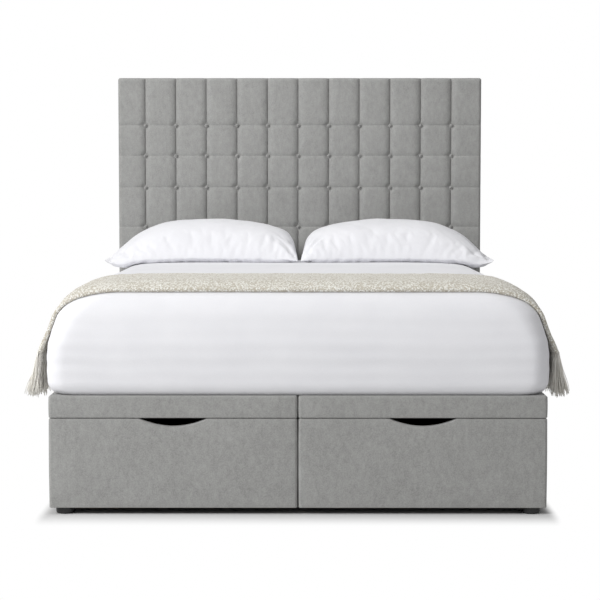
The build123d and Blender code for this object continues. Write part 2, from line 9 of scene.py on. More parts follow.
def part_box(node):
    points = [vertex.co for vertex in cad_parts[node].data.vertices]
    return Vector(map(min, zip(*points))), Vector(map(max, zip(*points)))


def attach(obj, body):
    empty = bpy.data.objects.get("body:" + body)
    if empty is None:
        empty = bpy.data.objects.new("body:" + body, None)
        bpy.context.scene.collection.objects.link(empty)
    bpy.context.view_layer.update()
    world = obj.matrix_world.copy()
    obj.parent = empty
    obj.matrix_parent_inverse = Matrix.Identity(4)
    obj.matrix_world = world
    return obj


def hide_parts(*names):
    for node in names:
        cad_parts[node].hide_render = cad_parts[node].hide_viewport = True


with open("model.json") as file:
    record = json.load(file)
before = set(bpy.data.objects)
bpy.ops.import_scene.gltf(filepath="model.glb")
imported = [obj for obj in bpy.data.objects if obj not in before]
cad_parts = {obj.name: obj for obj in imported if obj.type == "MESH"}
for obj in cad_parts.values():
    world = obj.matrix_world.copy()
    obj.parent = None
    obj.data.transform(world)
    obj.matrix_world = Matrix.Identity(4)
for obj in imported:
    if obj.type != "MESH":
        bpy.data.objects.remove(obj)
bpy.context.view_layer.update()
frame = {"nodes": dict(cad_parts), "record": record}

LEFT, RIGHT = "left", "right"
full_turn = 6.28

# Places and sizes taken from the frame, in metres
box_low, box_high = map(np.array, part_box("right_base_cover"))
lid_low, lid_high = map(np.array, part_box("right_lid_cover"))
mattress_low, mattress_high = map(np.array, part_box("mattress"))
pad_low, pad_high = map(np.array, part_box("headboard_pad"))
plinth_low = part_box("headboard_plinth")[0]
back_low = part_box("headboard_back")[0]
foot_panel_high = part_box("right_foot_panel")[1]
foot_y = box_low[1]
bed_half_width = box_high[0]

# Camera, fitted to the photograph's outlines
camera_place = (0.0189, -6.1366, 0.9903)
camera_tilt = math.radians(3.844)
camera_turn = math.radians(0.142)
camera_lens = 102.4
camera_sensor = 36
camera_reach = 200

# Upholstery of the boxes and the platform
cloth_thickness = 0.0008
cloth_stand = 0.0013
lid_drop = 0.0002
rim_edge_round = 0.0055
under_edge_round = 0.003
rim_drop = 0.045
under_turn_in = 0.12
deck_turn_in = 0.09
box_corner_round = 0.009
box_bulge = 0.0008
box_softness = 0.0004
box_softness_size = 0.11
panel_margin = 0.04
panel_spacing_across = 0.035
panel_spacing_along = 0.04
panel_levels = 8
foot_panel_margin = 0.01
handle_half_chord = 0.1015
handle_depth = 0.024
handle_steps = 44
handle_clear = 0.006

# Mattress outline: how far in from the widest line, and the height as a share of its whole height
mattress_levels = (
    (0.030, 0.0), (0.024, 0.004), (0.0175, 0.015), (0.011, 0.035), (0.005, 0.07), (0.001, 0.12),
    (0.0, 0.17), (0.0, 0.335), (0.0005, 0.38), (0.003, 0.46), (0.009, 0.54), (0.0165, 0.62),
    (0.0235, 0.69), (0.031, 0.745), (0.0395, 0.79), (0.049, 0.828), (0.060, 0.862), (0.073, 0.892),
    (0.088, 0.921), (0.105, 0.946), (0.125, 0.967), (0.15, 0.981), (0.19, 0.991), (0.25, 0.997),
    (0.34, 0.9995), (0.42, 1.0),
)
widest_level = 7
side_level = 22
mattress_swell = 0.0106
mattress_low[0] -= mattress_swell
mattress_high[0] += mattress_swell
mattress_rise = mattress_high[2] - mattress_low[2]
mattress_corner_round = 0.060
mattress_corner_growth = 0.75
mattress_growth_limit = 0.16
mattress_spacing_across = 0.022
mattress_spacing_along = 0.028
mattress_ring_steps = 52
mattress_ring_ease = 0.9
mattress_corner_steps = 10
mattress_top_insets = (0.22, 0.25, 0.29, 0.34, 0.40, 0.46, 0.52, 0.57)
sheet_fold_depth = 0.0009
sheet_fold_length = 0.042
sheet_fold_drift = 2.2
sheet_swell = 0.0012
sheet_fade_height = 0.03

# Throw
throw_front = 0.083
throw_back = 0.47
throw_thickness = 0.0115
throw_lift = 0.0010
throw_shoulder = 0.600
throw_hem_height = 0.478
throw_hug_inset = 0.0285
throw_flare = 0.022
throw_flare_power = 2.2
throw_right_extra = 0.004
throw_fold = 0.010
throw_fold_count = 2.4
throw_fold_unevenness = 0.35
throw_side_steps = 26
throw_crown_steps = 76
throw_crown_ease = 1.35
throw_row_count = 50
throw_row_crowding = 0.25
throw_hem_swell = 0.0022
throw_hem_reach = 0.012
throw_edge_share = 0.6
# The lumps of the knitting: height, width and the seed of their noise
throw_lump_layers = ((0.0009, 0.011, 4.0), (0.0013, 0.032, 8.0), (0.0012, 0.11, 2.0))

# Fringes of the throw, with a thread's own sizes as shares of its length
fringe_length = 0.135
fringe_count = 760
fringe_bundle = 17
fringe_lean = 0.14
fringe_spread = 0.21
fringe_root_rise = 0.004
fringe_scatter_out = 0.0045
fringe_scatter_along = 0.002
fringe_scatter_down = 0.002
fringe_scatter_up = 0.006
fringe_bundle_stray = 0.75
fringe_thread_stray = 0.45
fringe_gather = 0.11
fringe_bundle_sway = 0.07
fringe_thread_sway = 0.035
fringe_shortest = 0.90
fringe_longest = 1.03
fringe_bundle_change = 0.04
thread_levels = 8
thread_sides = 3
thread_girth = 0.0118
thread_taper = 0.35
thread_sway = 0.035
thread_sway_turn = 6.0
thread_twist = 2

# Pillows
pillow_width = 0.750
pillow_length = 0.5
pillow_height = 0.165
pillow_centre_gap = 0.006
pillow_head_gap = 0.012
pillow_head_overhang = 0.008
pillow_stand = 0.0005
pillow_columns = 96
pillow_rows = 66
pillow_waist = 0.04
pillow_waist_power = 5
pillow_length_round = 2.4
pillow_length_power = 0.62
pillow_point_ease = 0.3
pillow_seam = 0.016
pillow_seam_inner_rise = 2.0
pillow_seam_back_rise = 1.7
pillow_seam_inner_dip = 0.75
pillow_seam_outer_dip = 0.35
pillow_rise_power = 4
pillow_dip_power = 6
pillow_under_round = 0.04
pillow_spare_cloth = 0.035
pillow_sewing_frames = 20
pillow_move_limit = 0.0065
pillow_sag = 0.032
pillow_sag_reach = 0.075
pillow_sag_power = 0.7
pillow_middle_x = pillow_centre_gap / 2 + pillow_width / 2
pillow_middle_y = mattress_high[1] + pillow_head_overhang - pillow_head_gap - pillow_length / 2
# How a pillow rises from its drawn-out outer end: distance, and the height as a share
pillow_outer_shares = (
    (0.0, 0.0), (0.02, 0.13), (0.05, 0.33), (0.0945, 0.565), (0.17, 0.80), (0.23, 0.925), (0.305, 0.985),
    (0.395, 1.0),
)
# How it rises from its blunt inner end
pillow_inner_shares = (
    (0.0, 0.0), (0.004, 0.16), (0.012, 0.33), (0.0225, 0.46), (0.045, 0.60), (0.0725, 0.71), (0.11, 0.81),
    (0.1475, 0.885), (0.2225, 0.96), (0.33, 1.0),
)

# Creases of the pillow cases; for each corner its side, its end, and how far off its folds are deepest
corner_folds = ((-1, -1, 0.10), (1, -1, 0.085), (-1, 1, 0.09), (1, 1, 0.09))
corner_fold_depth = 0.0080
corner_fold_size = 0.019
corner_fold_reach = 2.6
corner_fold_fade = 0.75
corner_fold_start = (1.02, 1.04)
corner_fold_turn = 0.09
corner_fold_run = 0.12
corner_wobble = 0.4
corner_wobble_size = 0.05
corner_wobble_turn = 0.05
front_wrinkle_depth = 0.0026
front_wrinkle_size = 0.017
front_wrinkle_reach = 0.11
front_wrinkle_stretch = 0.22
slant_wrinkle_depth = 0.0024
slant_wrinkle_size = 0.055
slant_wrinkle_stretch = 0.35
slant_across, slant_along = 0.7, 0.71
case_swell_depth = 0.0030
case_swell_size = 0.16
ear_depth = 0.0100
ear_width = 0.007
ear_middle = 0.055
ear_length = 0.045
ear_across, ear_along = 0.62, 0.78
ear_offset = 0.004
case_edge_margin = 0.002
case_edge_fade = 0.018
case_floor_fade = 0.02

# Headboard
button_heights = (1.237, 1.112, 0.981, 0.818)
button_radius = 0.0068
button_stand = 0.0050
button_sides = 20
column_count = 12
left_edge_column = 0.1105
right_edge_column = 0.1230
column_half_width = 0.063
seam_relief = 0.0155
seam_round = 0.030
seam_power = 2.0
crown_relief = 0.0020
crease_relief = 0.0042
crease_width = 0.0044
crease_power = 1.2
crease_least = 0.55
crease_sag = 0.0034
crease_sag_least = 0.5
crease_sag_growth = 0.8
crease_round = 0.017
crease_upper_share = 0.45
dimple_depth = 0.0150
dimple_round = 0.0140
dimple_power = 3.0
pad_edge_round = 0.012
pad_top_round = 0.013
pad_corner_round = 0.007
pad_softness = 0.0006
pad_softness_size = 0.07
pad_least_step = 0.001
# Where the pad's mesh has its lines, as distances from a seam and from a row of buttons
seam_offsets = (0.0, 0.0006, 0.0014, 0.0026, 0.0042, 0.0065, 0.010, 0.014, 0.019, 0.025, 0.033, 0.043,
                0.053)
row_offsets = (0.0, 0.0010, 0.0022, 0.0038, 0.006, 0.009, 0.013, 0.018, 0.024, 0.032, 0.042, 0.054)
wrap_back_y = back_low[1] - 0.0004
wrap_turn_in = 0.022
# The cloth's way back over the sides: the share of the way, and how far it stands out there
wrap_steps = (
    (0.12, 0.0016), (0.3, 0.003), (0.55, 0.003), (0.8, 0.002), (0.95, 0.0005), (1.0, -0.002),
    (1.0, -wrap_turn_in),
)
# A covered button from its crown to its back: radius and height as shares of its radius
button_profile = (
    (0.0, 1.0), (0.28, 0.97), (0.52, 0.86), (0.74, 0.66), (0.90, 0.42), (0.99, 0.16), (0.98, -0.05),
    (0.86, -0.22), (0.5, -0.30),
)
plinth_side_clear = 0.0004
plinth_clear = 0.0003
plinth_edge_round = 0.006
plinth_corner_round = 0.003
plinth_margin = 0.04
plinth_spacing = 0.05

# Studio: the surround's plain level, and each lamp's name, place, size and power in watts
surround_level = 0.30
lamp_aim = (0.0, -0.4, 0.6)
lamps = (
    ("key", (-5.0, -4.0, 4.0), (2.6, 2.6), 350),
    ("fill", (3.4, -4.4, 1.8), (2.6, 2.6), 12),
    ("top", (0.0, -0.2, 4.2), (3.0, 3.0), 40),
)
floor_half_width = 30.0
floor_grey = 0.75
floor_white_start = 0.0
floor_white_end = 0.19
floor_side_haste = 5.0


def tone(red, green, blue):
    """A colour given by its screen values from 0 to 255, as linear light."""
    def linear(value):
        share = value / 255
        return share / 12.92 if share <= 0.04045 else ((share + 0.055) / 1.055) ** 2.4
    return (linear(red), linear(green), linear(blue), 1.0)


class Signal:
    """A number on its way between two nodes, with the usual arithmetic."""

    def __init__(self, graph, socket):
        self.graph = graph
        self.socket = socket

    def maths(self, operation, first, second):
        return self.graph.node("ShaderNodeMath", {"operation": operation}, {0: first, 1: second})

    def __add__(self, other):
        return self.maths("ADD", self, other)

    def __radd__(self, other):
        return self.maths("ADD", other, self)

    def __sub__(self, other):
        return self.maths("SUBTRACT", self, other)

    def __rsub__(self, other):
        return self.maths("SUBTRACT", other, self)

    def __mul__(self, other):
        return self.maths("MULTIPLY", self, other)

    def __rmul__(self, other):
        return self.maths("MULTIPLY", other, self)


class Graph:
    """A node tree that nodes are added to one at a time."""

    def __init__(self, tree):
        self.tree = tree

    def feed(self, socket, value):
        if isinstance(value, Signal):
            self.tree.links.new(value.socket, socket)
        else:
            socket.default_value = value

    def node(self, kind, settings=None, sockets=None, out=0):
        """Add a node: its settings first, then the values or links of its sockets."""
        made = self.tree.nodes.new(kind)
        for name, value in (settings or {}).items():
            setattr(made, name, value)
        for name, value in (sockets or {}).items():
            self.feed(made.inputs[name], value)
        return Signal(self, made.outputs[out])


class Finish(Graph):
    """A material with one main shader, whose fixed values are set on the shader itself."""

    def __init__(self, name, **fixed):
        self.material = bpy.data.materials.new(name)
        self.material.use_nodes = True
        super().__init__(self.material.node_tree)
        self.shader = self.tree.nodes["Principled BSDF"]
        self.place = self.node("ShaderNodeTexCoord", out="Object")
        for socket, value in fixed.items():
            self.shader.inputs[socket.replace("_", " ")].default_value = value

    def drive(self, socket, value):
        self.feed(self.shader.inputs[socket], value)

    def stretched(self, scale):
        """The piece's own coordinates, for patterns drawn out along each axis whose scale is small."""
        return self.node("ShaderNodeMapping", None, {"Vector": self.place, "Scale": scale})

    def grain(self, size, detail=2.0, rough=0.5, place=None):
        """Soft noise from 0 to 1 whose patches are about as wide as the size, in metres."""
        sockets = {"Vector": place or self.place, "Scale": 1 / size, "Detail": detail, "Roughness": rough}
        return self.node("ShaderNodeTexNoise", None, sockets, "Fac")

    def cells(self, size, place=None):
        """The distance from the middle of cells that are about as wide as the size, in metres."""
        sockets = {"Vector": place or self.place, "Scale": 1 / size}
        return self.node("ShaderNodeTexVoronoi", {"feature": "F1"}, sockets, "Distance")

    def span(self, value, low, high, new_low=0.0, new_high=1.0):
        """A value from low to high moved to a new range, and held inside it."""
        sockets = {"Value": value, "From Min": low, "From Max": high, "To Min": new_low, "To Max": new_high}
        return self.node("ShaderNodeMapRange", None, sockets)

    def mix(self, factor, first, second):
        return self.node("ShaderNodeMix", {"data_type": "RGBA"}, {0: factor, 6: first, 7: second}, 2)

    def paint(self, value, low, high, first, second):
        """Colour the surface from a first tone to a second as a value goes from low to high."""
        self.drive("Base Color", self.mix(self.span(value, low, high), first, second))

    def roughen(self, soft_noise, smoothest, roughest):
        """Let the roughness follow a soft noise, which lies mostly between 0.3 and 0.7."""
        self.drive("Roughness", self.span(soft_noise, 0.3, 0.7, smoothest, roughest))

    def bump(self, height, depth, strength=1.0):
        """Raise the surface by a height from 0 to 1 times a depth in metres."""
        sockets = {"Height": height, "Distance": depth, "Strength": strength}
        self.drive("Normal", self.node("ShaderNodeBump", None, sockets, "Normal"))


def grey_plush():
    """Short grey plush: a fine nap with soft, faint patches where it has been brushed."""
    cloth = Finish("grey_plush", Roughness=0.92, Sheen_Weight=0.32, Sheen_Roughness=0.38,
                   Specular_IOR_Level=0.15)
    nap = cloth.grain(size=0.0032, detail=3.0, rough=0.62)
    fibre = cloth.grain(size=0.0011, detail=2.0, rough=0.6)
    brushed = cloth.grain(size=0.013, detail=3.0, rough=0.6, place=cloth.stretched((1.0, 1.0, 0.55)))
    broad = cloth.grain(size=0.10, detail=2.0, rough=0.5)
    shade = nap * 0.44 + fibre * 0.22 + brushed * 0.24 + broad * 0.10
    cloth.paint(shade, 0.34, 0.66, tone(139, 139, 137), tone(177, 177, 175))
    cloth.roughen(brushed, 0.86, 0.97)
    cloth.bump(nap * 0.55 + fibre * 0.2 + brushed * 0.25, depth=0.0014, strength=0.6)
    return cloth.material


def white_cotton():
    """Plain white cotton: a very fine weave, almost even in colour."""
    cloth = Finish("white_cotton", Roughness=0.85, Sheen_Weight=0.12, Sheen_Roughness=0.5,
                   Specular_IOR_Level=0.2)
    warp = cloth.grain(size=0.0009, detail=1.0, rough=0.5, place=cloth.stretched((1.0, 1.0, 0.35)))
    weft = cloth.grain(size=0.0009, detail=1.0, rough=0.5, place=cloth.stretched((0.35, 0.35, 1.0)))
    soft = cloth.grain(size=0.12, detail=2.0, rough=0.5)
    shade = (warp + weft) * 0.3 + soft * 0.4
    cloth.paint(shade, 0.3, 0.7, tone(233, 233, 237), tone(243, 243, 246))
    cloth.bump((warp + weft) * 0.5, depth=0.0004, strength=0.35)
    return cloth.material


def oat_knit():
    """Oat-coloured knitting: rows of small stitches, with painted shade darkening the hollows between them.
    """
    cloth = Finish("oat_knit", Roughness=0.95, Sheen_Weight=0.25, Sheen_Roughness=0.5,
                   Specular_IOR_Level=0.1)
    stitches = cloth.cells(size=0.0062, place=cloth.stretched((1.0, 0.8, 1.0)))
    loops = cloth.cells(size=0.0031)
    yarn = cloth.grain(size=0.0016, detail=3.0, rough=0.6)
    patch = cloth.grain(size=0.07, detail=2.0, rough=0.5)
    # Painted shade: this mask darkens the colour in the hollows between the stitches, where shade falls; the
    # same mask also sinks them by bump.
    hollow = cloth.span(stitches * 0.62 + loops * 0.38, 0.18, 0.62)
    tint = hollow * 0.55 + yarn * 0.30 + patch * 0.15
    # From the light yarn to a darker tone, which is mostly the painted shade in the hollows.
    cloth.paint(tint, 0.38, 0.78, tone(255, 255, 249), tone(192, 185, 170))
    cloth.roughen(yarn, 0.88, 0.98)
    cloth.bump((1.0 - hollow) * 0.75 + yarn * 0.25, depth=0.0028, strength=0.75)
    return cloth.material


def fringe_yarn():
    """Loose oat-coloured yarn: each thread a little lighter or darker than the next."""
    yarn = Finish("fringe_yarn", Roughness=0.9, Sheen_Weight=0.3, Sheen_Roughness=0.5,
                  Specular_IOR_Level=0.15)
    threads = yarn.grain(size=0.0035, detail=2.0, rough=0.6, place=yarn.stretched((1.0, 1.0, 0.06)))
    twist = yarn.grain(size=0.0012, detail=2.0, rough=0.6, place=yarn.stretched((1.0, 1.0, 2.5)))
    tint = threads * 0.72 + twist * 0.28
    yarn.paint(tint, 0.3, 0.7, tone(240, 235, 224), tone(255, 254, 249))
    yarn.roughen(twist, 0.82, 0.95)
    yarn.bump(twist, depth=0.0006, strength=0.6)
    return yarn.material


def black_cloth():
    """Thin black dust cloth of pressed fibres, with a faint dimpled pattern."""
    cloth = Finish("black_dust_cloth", Roughness=0.9, Specular_IOR_Level=0.2)
    dots = cloth.cells(size=0.0024)
    fibres = cloth.grain(size=0.0014, detail=4.0, rough=0.7)
    shade = cloth.span(dots, 0.1, 0.5) * 0.5 + fibres * 0.5
    cloth.paint(shade, 0.3, 0.75, tone(26, 26, 27), tone(52, 52, 54))
    cloth.bump(shade, depth=0.0005, strength=0.6)
    return cloth.material


def chipboard():
    """Raw chipboard: pressed flakes of light and dark wood."""
    board = Finish("chipboard", Roughness=0.75, Specular_IOR_Level=0.3)
    flakes = board.cells(size=0.0075, place=board.stretched((1.0, 1.0, 2.2)))
    chips = board.cells(size=0.0038)
    dust = board.grain(size=0.0016, detail=3.0, rough=0.65)
    tint = flakes * 0.45 + chips * 0.3 + dust * 0.25
    board.paint(tint, 0.18, 0.62, tone(158, 126, 88), tone(214, 186, 146))
    board.roughen(dust, 0.66, 0.85)
    board.bump(tint, depth=0.0005, strength=0.5)
    return board.material


def softwood():
    """Planed softwood: long pale grain with darker rings."""
    wood = Finish("softwood", Roughness=0.6, Specular_IOR_Level=0.35)
    bend = wood.grain(size=0.35, detail=2.0, rough=0.5, place=wood.stretched((1.0, 0.12, 1.0)))
    sockets = {"Vector": wood.stretched((1.0, 0.08, 1.0)), "Scale": 26.0, "Distortion": 7.0, "Detail": 2.0,
               "Detail Scale": 1.2}
    rings = wood.node("ShaderNodeTexWave", {"wave_type": "RINGS", "rings_direction": "Y"}, sockets, "Fac")
    pores = wood.grain(size=0.0022, detail=3.0, rough=0.6, place=wood.stretched((1.0, 0.05, 1.0)))
    tint = rings * 0.4 + pores * 0.3 + bend * 0.3
    wood.paint(tint, 0.2, 0.75, tone(226, 196, 150), tone(180, 138, 90))
    wood.roughen(pores, 0.52, 0.7)
    wood.bump(tint, depth=0.0004, strength=0.4)
    return wood.material


def black_plastic():
    """Moulded black plastic with a fine eggshell texture and scuffs."""
    plastic = Finish("black_plastic", Roughness=0.42, Specular_IOR_Level=0.45)
    shell = plastic.grain(size=0.0013, detail=2.0, rough=0.5)
    scuff = plastic.grain(size=0.018, detail=4.0, rough=0.65)
    plastic.paint(scuff, 0.4, 0.7, tone(18, 18, 19), tone(34, 34, 35))
    plastic.roughen(scuff, 0.36, 0.55)
    plastic.bump(shell, depth=0.0002, strength=0.4)
    return plastic.material


def black_steel():
    """Powder-coated steel: an even satin black with a slight orange-peel surface."""
    steel = Finish("black_steel", Roughness=0.4, Specular_IOR_Level=0.5)
    peel = steel.grain(size=0.0020, detail=2.0, rough=0.5)
    wear = steel.grain(size=0.03, detail=4.0, rough=0.6)
    steel.paint(wear, 0.4, 0.75, tone(24, 24, 25), tone(44, 44, 45))
    steel.roughen(wear, 0.34, 0.5)
    steel.bump(peel, depth=0.0002, strength=0.5)
    return steel.material


def zinc_steel():
    """Zinc-plated steel: bright metal with drawn lines and a slightly cloudy plating."""
    steel = Finish("zinc_steel", Roughness=0.3, Metallic=1.0)
    cloud = steel.grain(size=0.012, detail=3.0, rough=0.6)
    drawn = steel.grain(size=0.0008, detail=2.0, rough=0.6, place=steel.stretched((1.0, 0.2, 0.2)))
    steel.paint(cloud, 0.3, 0.7, tone(178, 180, 184), tone(214, 215, 218))
    steel.roughen(drawn, 0.22, 0.38)
    steel.bump(drawn, depth=0.0001, strength=0.3)
    return steel.material


finishes = {
    "grey_cloth": grey_plush(),
    "white_cotton": white_cotton(),
    "oat_knit": oat_knit(),
    "black_cloth": black_cloth(),
    "board": chipboard(),
    "timber": softwood(),
    "black_plastic": black_plastic(),
    "black_steel": black_steel(),
    "zinc_steel": zinc_steel(),
}
yarn_finish = fringe_yarn()


def dress_frame_nodes():
    """Give every piece that keeps its own mesh the finish of its slot."""
    for row in frame["record"]["subparts"]:
        slots = frame["nodes"][row["node"]].material_slots
        for slot in slots:
            slot.material = finishes[row["material_slot"]]


def mesh_object(name, points, faces, edges=()):
    """A new mesh and its object, both under one name, in the scene."""
    mesh = bpy.data.meshes.new(name)
    mesh.from_pydata([tuple(float(value) for value in point) for point in points], list(edges), faces)
    made = bpy.data.objects.new(name, mesh)
    bpy.context.scene.collection.objects.link(made)
    return made


def finished_piece(piece, finish, body):
    """Make an object a smooth piece with one finish, riding on a body."""
    mesh = piece.data
    mesh.polygons.foreach_set("use_smooth", [True] * len(mesh.polygons))
    mesh.materials.clear()
    mesh.materials.append(finish)
    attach(piece, body)
    return piece


def add_piece(name, points, faces, finish, body):
    """A smooth mesh piece in its place, riding on a body."""
    return finished_piece(mesh_object(name, points, faces), finish, body)


def grid_faces(rows, columns, wrap=False, start=0):
    """Four-sided faces between the neighbouring points of a grid, row by row."""
    faces = []
    last = columns if wrap else columns - 1
    for row in range(rows - 1):
        for column in range(last):
            after = (column + 1) % columns
            low, high = start + row * columns, start + (row + 1) * columns
            faces.append((low + column, low + after, high + after, high + column))
    return faces


def closing_strip(start, count, first):
    """Faces across a closed ring of points, from a first place on it and its neighbour to the far side."""
    order = [start + (first + step) % count for step in range(count)]
    faces = []
    for step in range(count // 2 - 1):
        faces.append((order[step], order[step + 1], order[-2 - step], order[-1 - step]))
    return faces


def thicken(piece, thickness, offset):
    """Give a single skin its cloth thickness."""
    solid = piece.modifiers.new("thickness", "SOLIDIFY")
    solid.thickness = thickness
    solid.offset = offset


def waver(point, size, seed):
    """Smooth noise from -1 to 1 at a place, with patches about as wide as the size."""
    shift = Vector((seed, seed * 2.3, seed * 4.1))
    return noise.noise(Vector(tuple(value / size for value in point)) + shift)


def ring(low, high, inset, radius, runs, corner_steps=6):
    """Points round a rounded rectangle, inset from a box's plan. Each side has points at given places."""
    hold = inset + radius
    corners = (
        (low[0] + hold, low[1] + hold, 180), (high[0] - hold, low[1] + hold, 270),
        (high[0] - hold, high[1] - hold, 0), (low[0] + hold, high[1] - hold, 90),
    )
    sides = (
        [(x, low[1] + inset) for x in runs[0]], [(high[0] - inset, y) for y in runs[1]],
        [(x, high[1] - inset) for x in reversed(runs[0])], [(low[0] + inset, y) for y in reversed(runs[1])],
    )
    points = []
    for (centre_x, centre_y, start), side in zip(corners, sides):
        for step in range(corner_steps + 1):
            angle = math.radians(start + 90 * step / corner_steps)
            points.append((centre_x + radius * math.cos(angle), centre_y + radius * math.sin(angle)))
        points += side
    return points


def even_run(low, high, spacing):
    """Places between two ends at about one spacing, the ends left out."""
    count = max(2, round((high - low) / spacing))
    return [low + (high - low) * step / count for step in range(1, count)]


def handle_drop(x, middle):
    """How far the rim of a foot panel dips at a place along it, for the hand."""
    away = abs(x - middle)
    if away >= handle_half_chord:
        return 0.0
    radius = (handle_half_chord ** 2 + handle_depth ** 2) / (2 * handle_depth)
    return math.sqrt(radius ** 2 - away ** 2) - (radius - handle_depth)


def rounded_edge(inset, height, radius, start, steps=5):
    """A quarter turn of a profile as insets and heights, about a centre, from an angle."""
    turn = []
    for step in range(steps + 1):
        angle = math.radians(start + 90 * step / steps)
        turn.append((inset - radius * math.cos(angle), height + radius * math.sin(angle)))
    return turn


def band_profile(low_z, high_z, top_run, inner_drop):
    """The cloth's way up one wall: in under the wall, out, up, over the rim and down inside."""
    profile = [(under_turn_in, low_z)]
    under, rim = under_edge_round, rim_edge_round
    profile += rounded_edge(under, low_z + under, under, -90)
    for step in range(1, panel_levels):
        profile.append((0.0, low_z + under + (high_z - low_z - under - rim) * step / panel_levels))
    profile += rounded_edge(rim, high_z - rim, rim, 0)
    profile.append((top_run * 0.5, high_z))
    profile.append((top_run, high_z))
    if inner_drop:
        profile += rounded_edge(top_run, high_z - cloth_stand * 2, cloth_stand * 2, 90)[1:]
        profile.append((top_run + cloth_stand * 2, high_z - inner_drop))
    return profile


def upholstered_band(name, side, low, high, top_run, inner_drop, has_handle):
    """The cloth round one box or one platform half, turned in at both rims."""
    middle = (low[0] + high[0]) / 2
    runs = [even_run(low[0] + panel_margin, high[0] - panel_margin, panel_spacing_across),
            even_run(low[1] + panel_margin, high[1] - panel_margin, panel_spacing_along)]
    if has_handle:
        slot_low, slot_high = middle - handle_half_chord, middle + handle_half_chord
        slot = [slot_low + (slot_high - slot_low) * step / handle_steps for step in range(handle_steps + 1)]
        outside = [x for x in runs[0] if x < slot_low - handle_clear or x > slot_high + handle_clear]
        runs[0] = sorted(outside + slot + [slot_low - handle_clear, slot_high + handle_clear])
    low_z, high_z = low[2] - lid_drop * (not has_handle), high[2] + cloth_stand
    profile = band_profile(low_z, high_z, top_run, inner_drop)
    points = []
    foot_limit = low[1] + foot_panel_high[1] - foot_y + foot_panel_margin
    for inset, height in profile:
        share = (height - low_z) / (high_z - low_z)
        bulge = box_bulge * math.sin(math.pi * min(max(share, 0), 1)) if inset == 0.0 else 0.0
        for x, y in ring(low, high, inset, max(box_corner_round - inset, 0.0), runs):
            drop = handle_drop(x, middle) if has_handle and y < foot_limit else 0.0
            z = low_z + (height - low_z) * (high_z - drop - low_z) / (high_z - low_z)
            soft = bulge
            if inset == 0.0:
                soft += box_softness * waver((x, y, z), size=box_softness_size, seed=3.0)
            on_side = min(x - low[0], high[0] - x) < min(y - low[1], high[1] - y)
            out_x = (1 if x > middle else -1) * soft if on_side else 0.0
            out_y = 0.0 if on_side else (1 if y > 0 else -1) * soft
            points.append((x + out_x, y + out_y, z))
    columns = len(points) // len(profile)
    faces = grid_faces(len(profile), columns, wrap=True)
    if side == LEFT:
        points = [(-x, y, z) for x, y, z in points]
        faces = [face[::-1] for face in faces]
    body = "base" if has_handle else "platform"
    piece = add_piece(name, points, faces, finishes["grey_cloth"], body)
    thicken(piece, cloth_thickness, -1)
    return piece


def build_upholstery():
    """The cloth on both boxes and both platform halves."""
    rim = foot_panel_high[1] - foot_y
    for side in (LEFT, RIGHT):
        box = upholstered_band(f"{side}_box_cloth", side, box_low, box_high, rim, rim_drop, True)
        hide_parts(f"{side}_base_cover")
        lid = upholstered_band(f"{side}_platform_cloth", side, lid_low, lid_high, deck_turn_in, 0.0, False)
        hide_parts(f"{side}_lid_cover")


def smooth_curve(places, values, flat_end=False):
    """A function that joins points with smooth curves, and never overshoots between two of them."""
    places, values = np.array(places, float), np.array(values, float)
    widths = np.diff(places)
    rises = np.diff(values) / widths
    slopes = np.zeros(len(places))
    agree = rises[:-1] * rises[1:] > 0
    total = np.where(agree, rises[:-1] + rises[1:], 1.0)
    slopes[1:-1] = np.where(agree, 2 * rises[:-1] * rises[1:] / total, 0.0)
    slopes[0] = rises[0]
    slopes[-1] = 0.0 if flat_end else rises[-1]

    def value_at(place):
        place = np.clip(place, places[0], places[-1])
        index = np.clip(np.searchsorted(places, place, side="right") - 1, 0, len(widths) - 1)
        width = widths[index]
        share = (place - places[index]) / width
        square, cube = share ** 2, share ** 3
        before = (2 * cube - 3 * square + 1) * values[index]
        before = before + (cube - 2 * square + share) * width * slopes[index]
        after = (cube - square) * width * slopes[index + 1]
        return before + (3 * square - 2 * cube) * values[index + 1] + after

    return value_at


mattress_side_inset = smooth_curve([share for inset, share in mattress_levels],
                                   [inset for inset, share in mattress_levels])
mattress_top_share = smooth_curve([inset for inset, share in mattress_levels[widest_level:]],
                                  [share for inset, share in mattress_levels[widest_level:]],
                                  flat_end=True)


def mattress_corner_radius(inset):
    """The plan radius of the mattress's corners, which grows towards the middle."""
    return mattress_corner_round + mattress_corner_growth * np.minimum(inset, mattress_growth_limit)


def mattress_inset(x, y):
    """Which level line of the mattress passes over a place, given by its inset from the widest one."""
    across = np.maximum(mattress_high[0] - np.abs(x), 0.0)
    along = np.maximum(np.minimum(y - mattress_low[1], mattress_high[1] - y), 0.0)
    low, high = np.zeros(np.shape(across)), np.minimum(across, along)
    for halving in range(20):
        middle = (low + high) / 2
        radius = mattress_corner_radius(middle)
        reach = np.hypot(np.maximum(middle + radius - across, 0), np.maximum(middle + radius - along, 0))
        inside = reach <= radius
        low, high = np.where(inside, middle, low), np.where(inside, high, middle)
    return low


def surface_height(x, y):
    """The height of the mattress's upper surface at a place."""
    return mattress_low[2] + mattress_rise * mattress_top_share(mattress_inset(x, y))


def sheet_folds(x, y, z, up):
    """The soft level folds of the fitted sheet: waves down its sides, and faint hollows on its top."""
    drift = (0.9 * waver((x, y, z * 0.4), size=0.45, seed=2.0)
             + 0.5 * waver((x, y, z * 0.7), size=0.16, seed=9.0))
    wave = math.sin(2 * math.pi * z / sheet_fold_length + sheet_fold_drift * drift)
    strength = 0.65 + 0.55 * waver((x, y, z * 0.3), size=0.30, seed=5.0)
    broad = waver((x, y, z * 0.6), size=0.28, seed=7.0)
    ripple = waver((x * 0.35, y, z), size=0.06, seed=11.0)
    side_push = sheet_fold_depth * wave * strength + sheet_swell * broad
    return side_push * (1 - up) + up * (sheet_swell * broad + 0.5 * sheet_fold_depth * ripple)


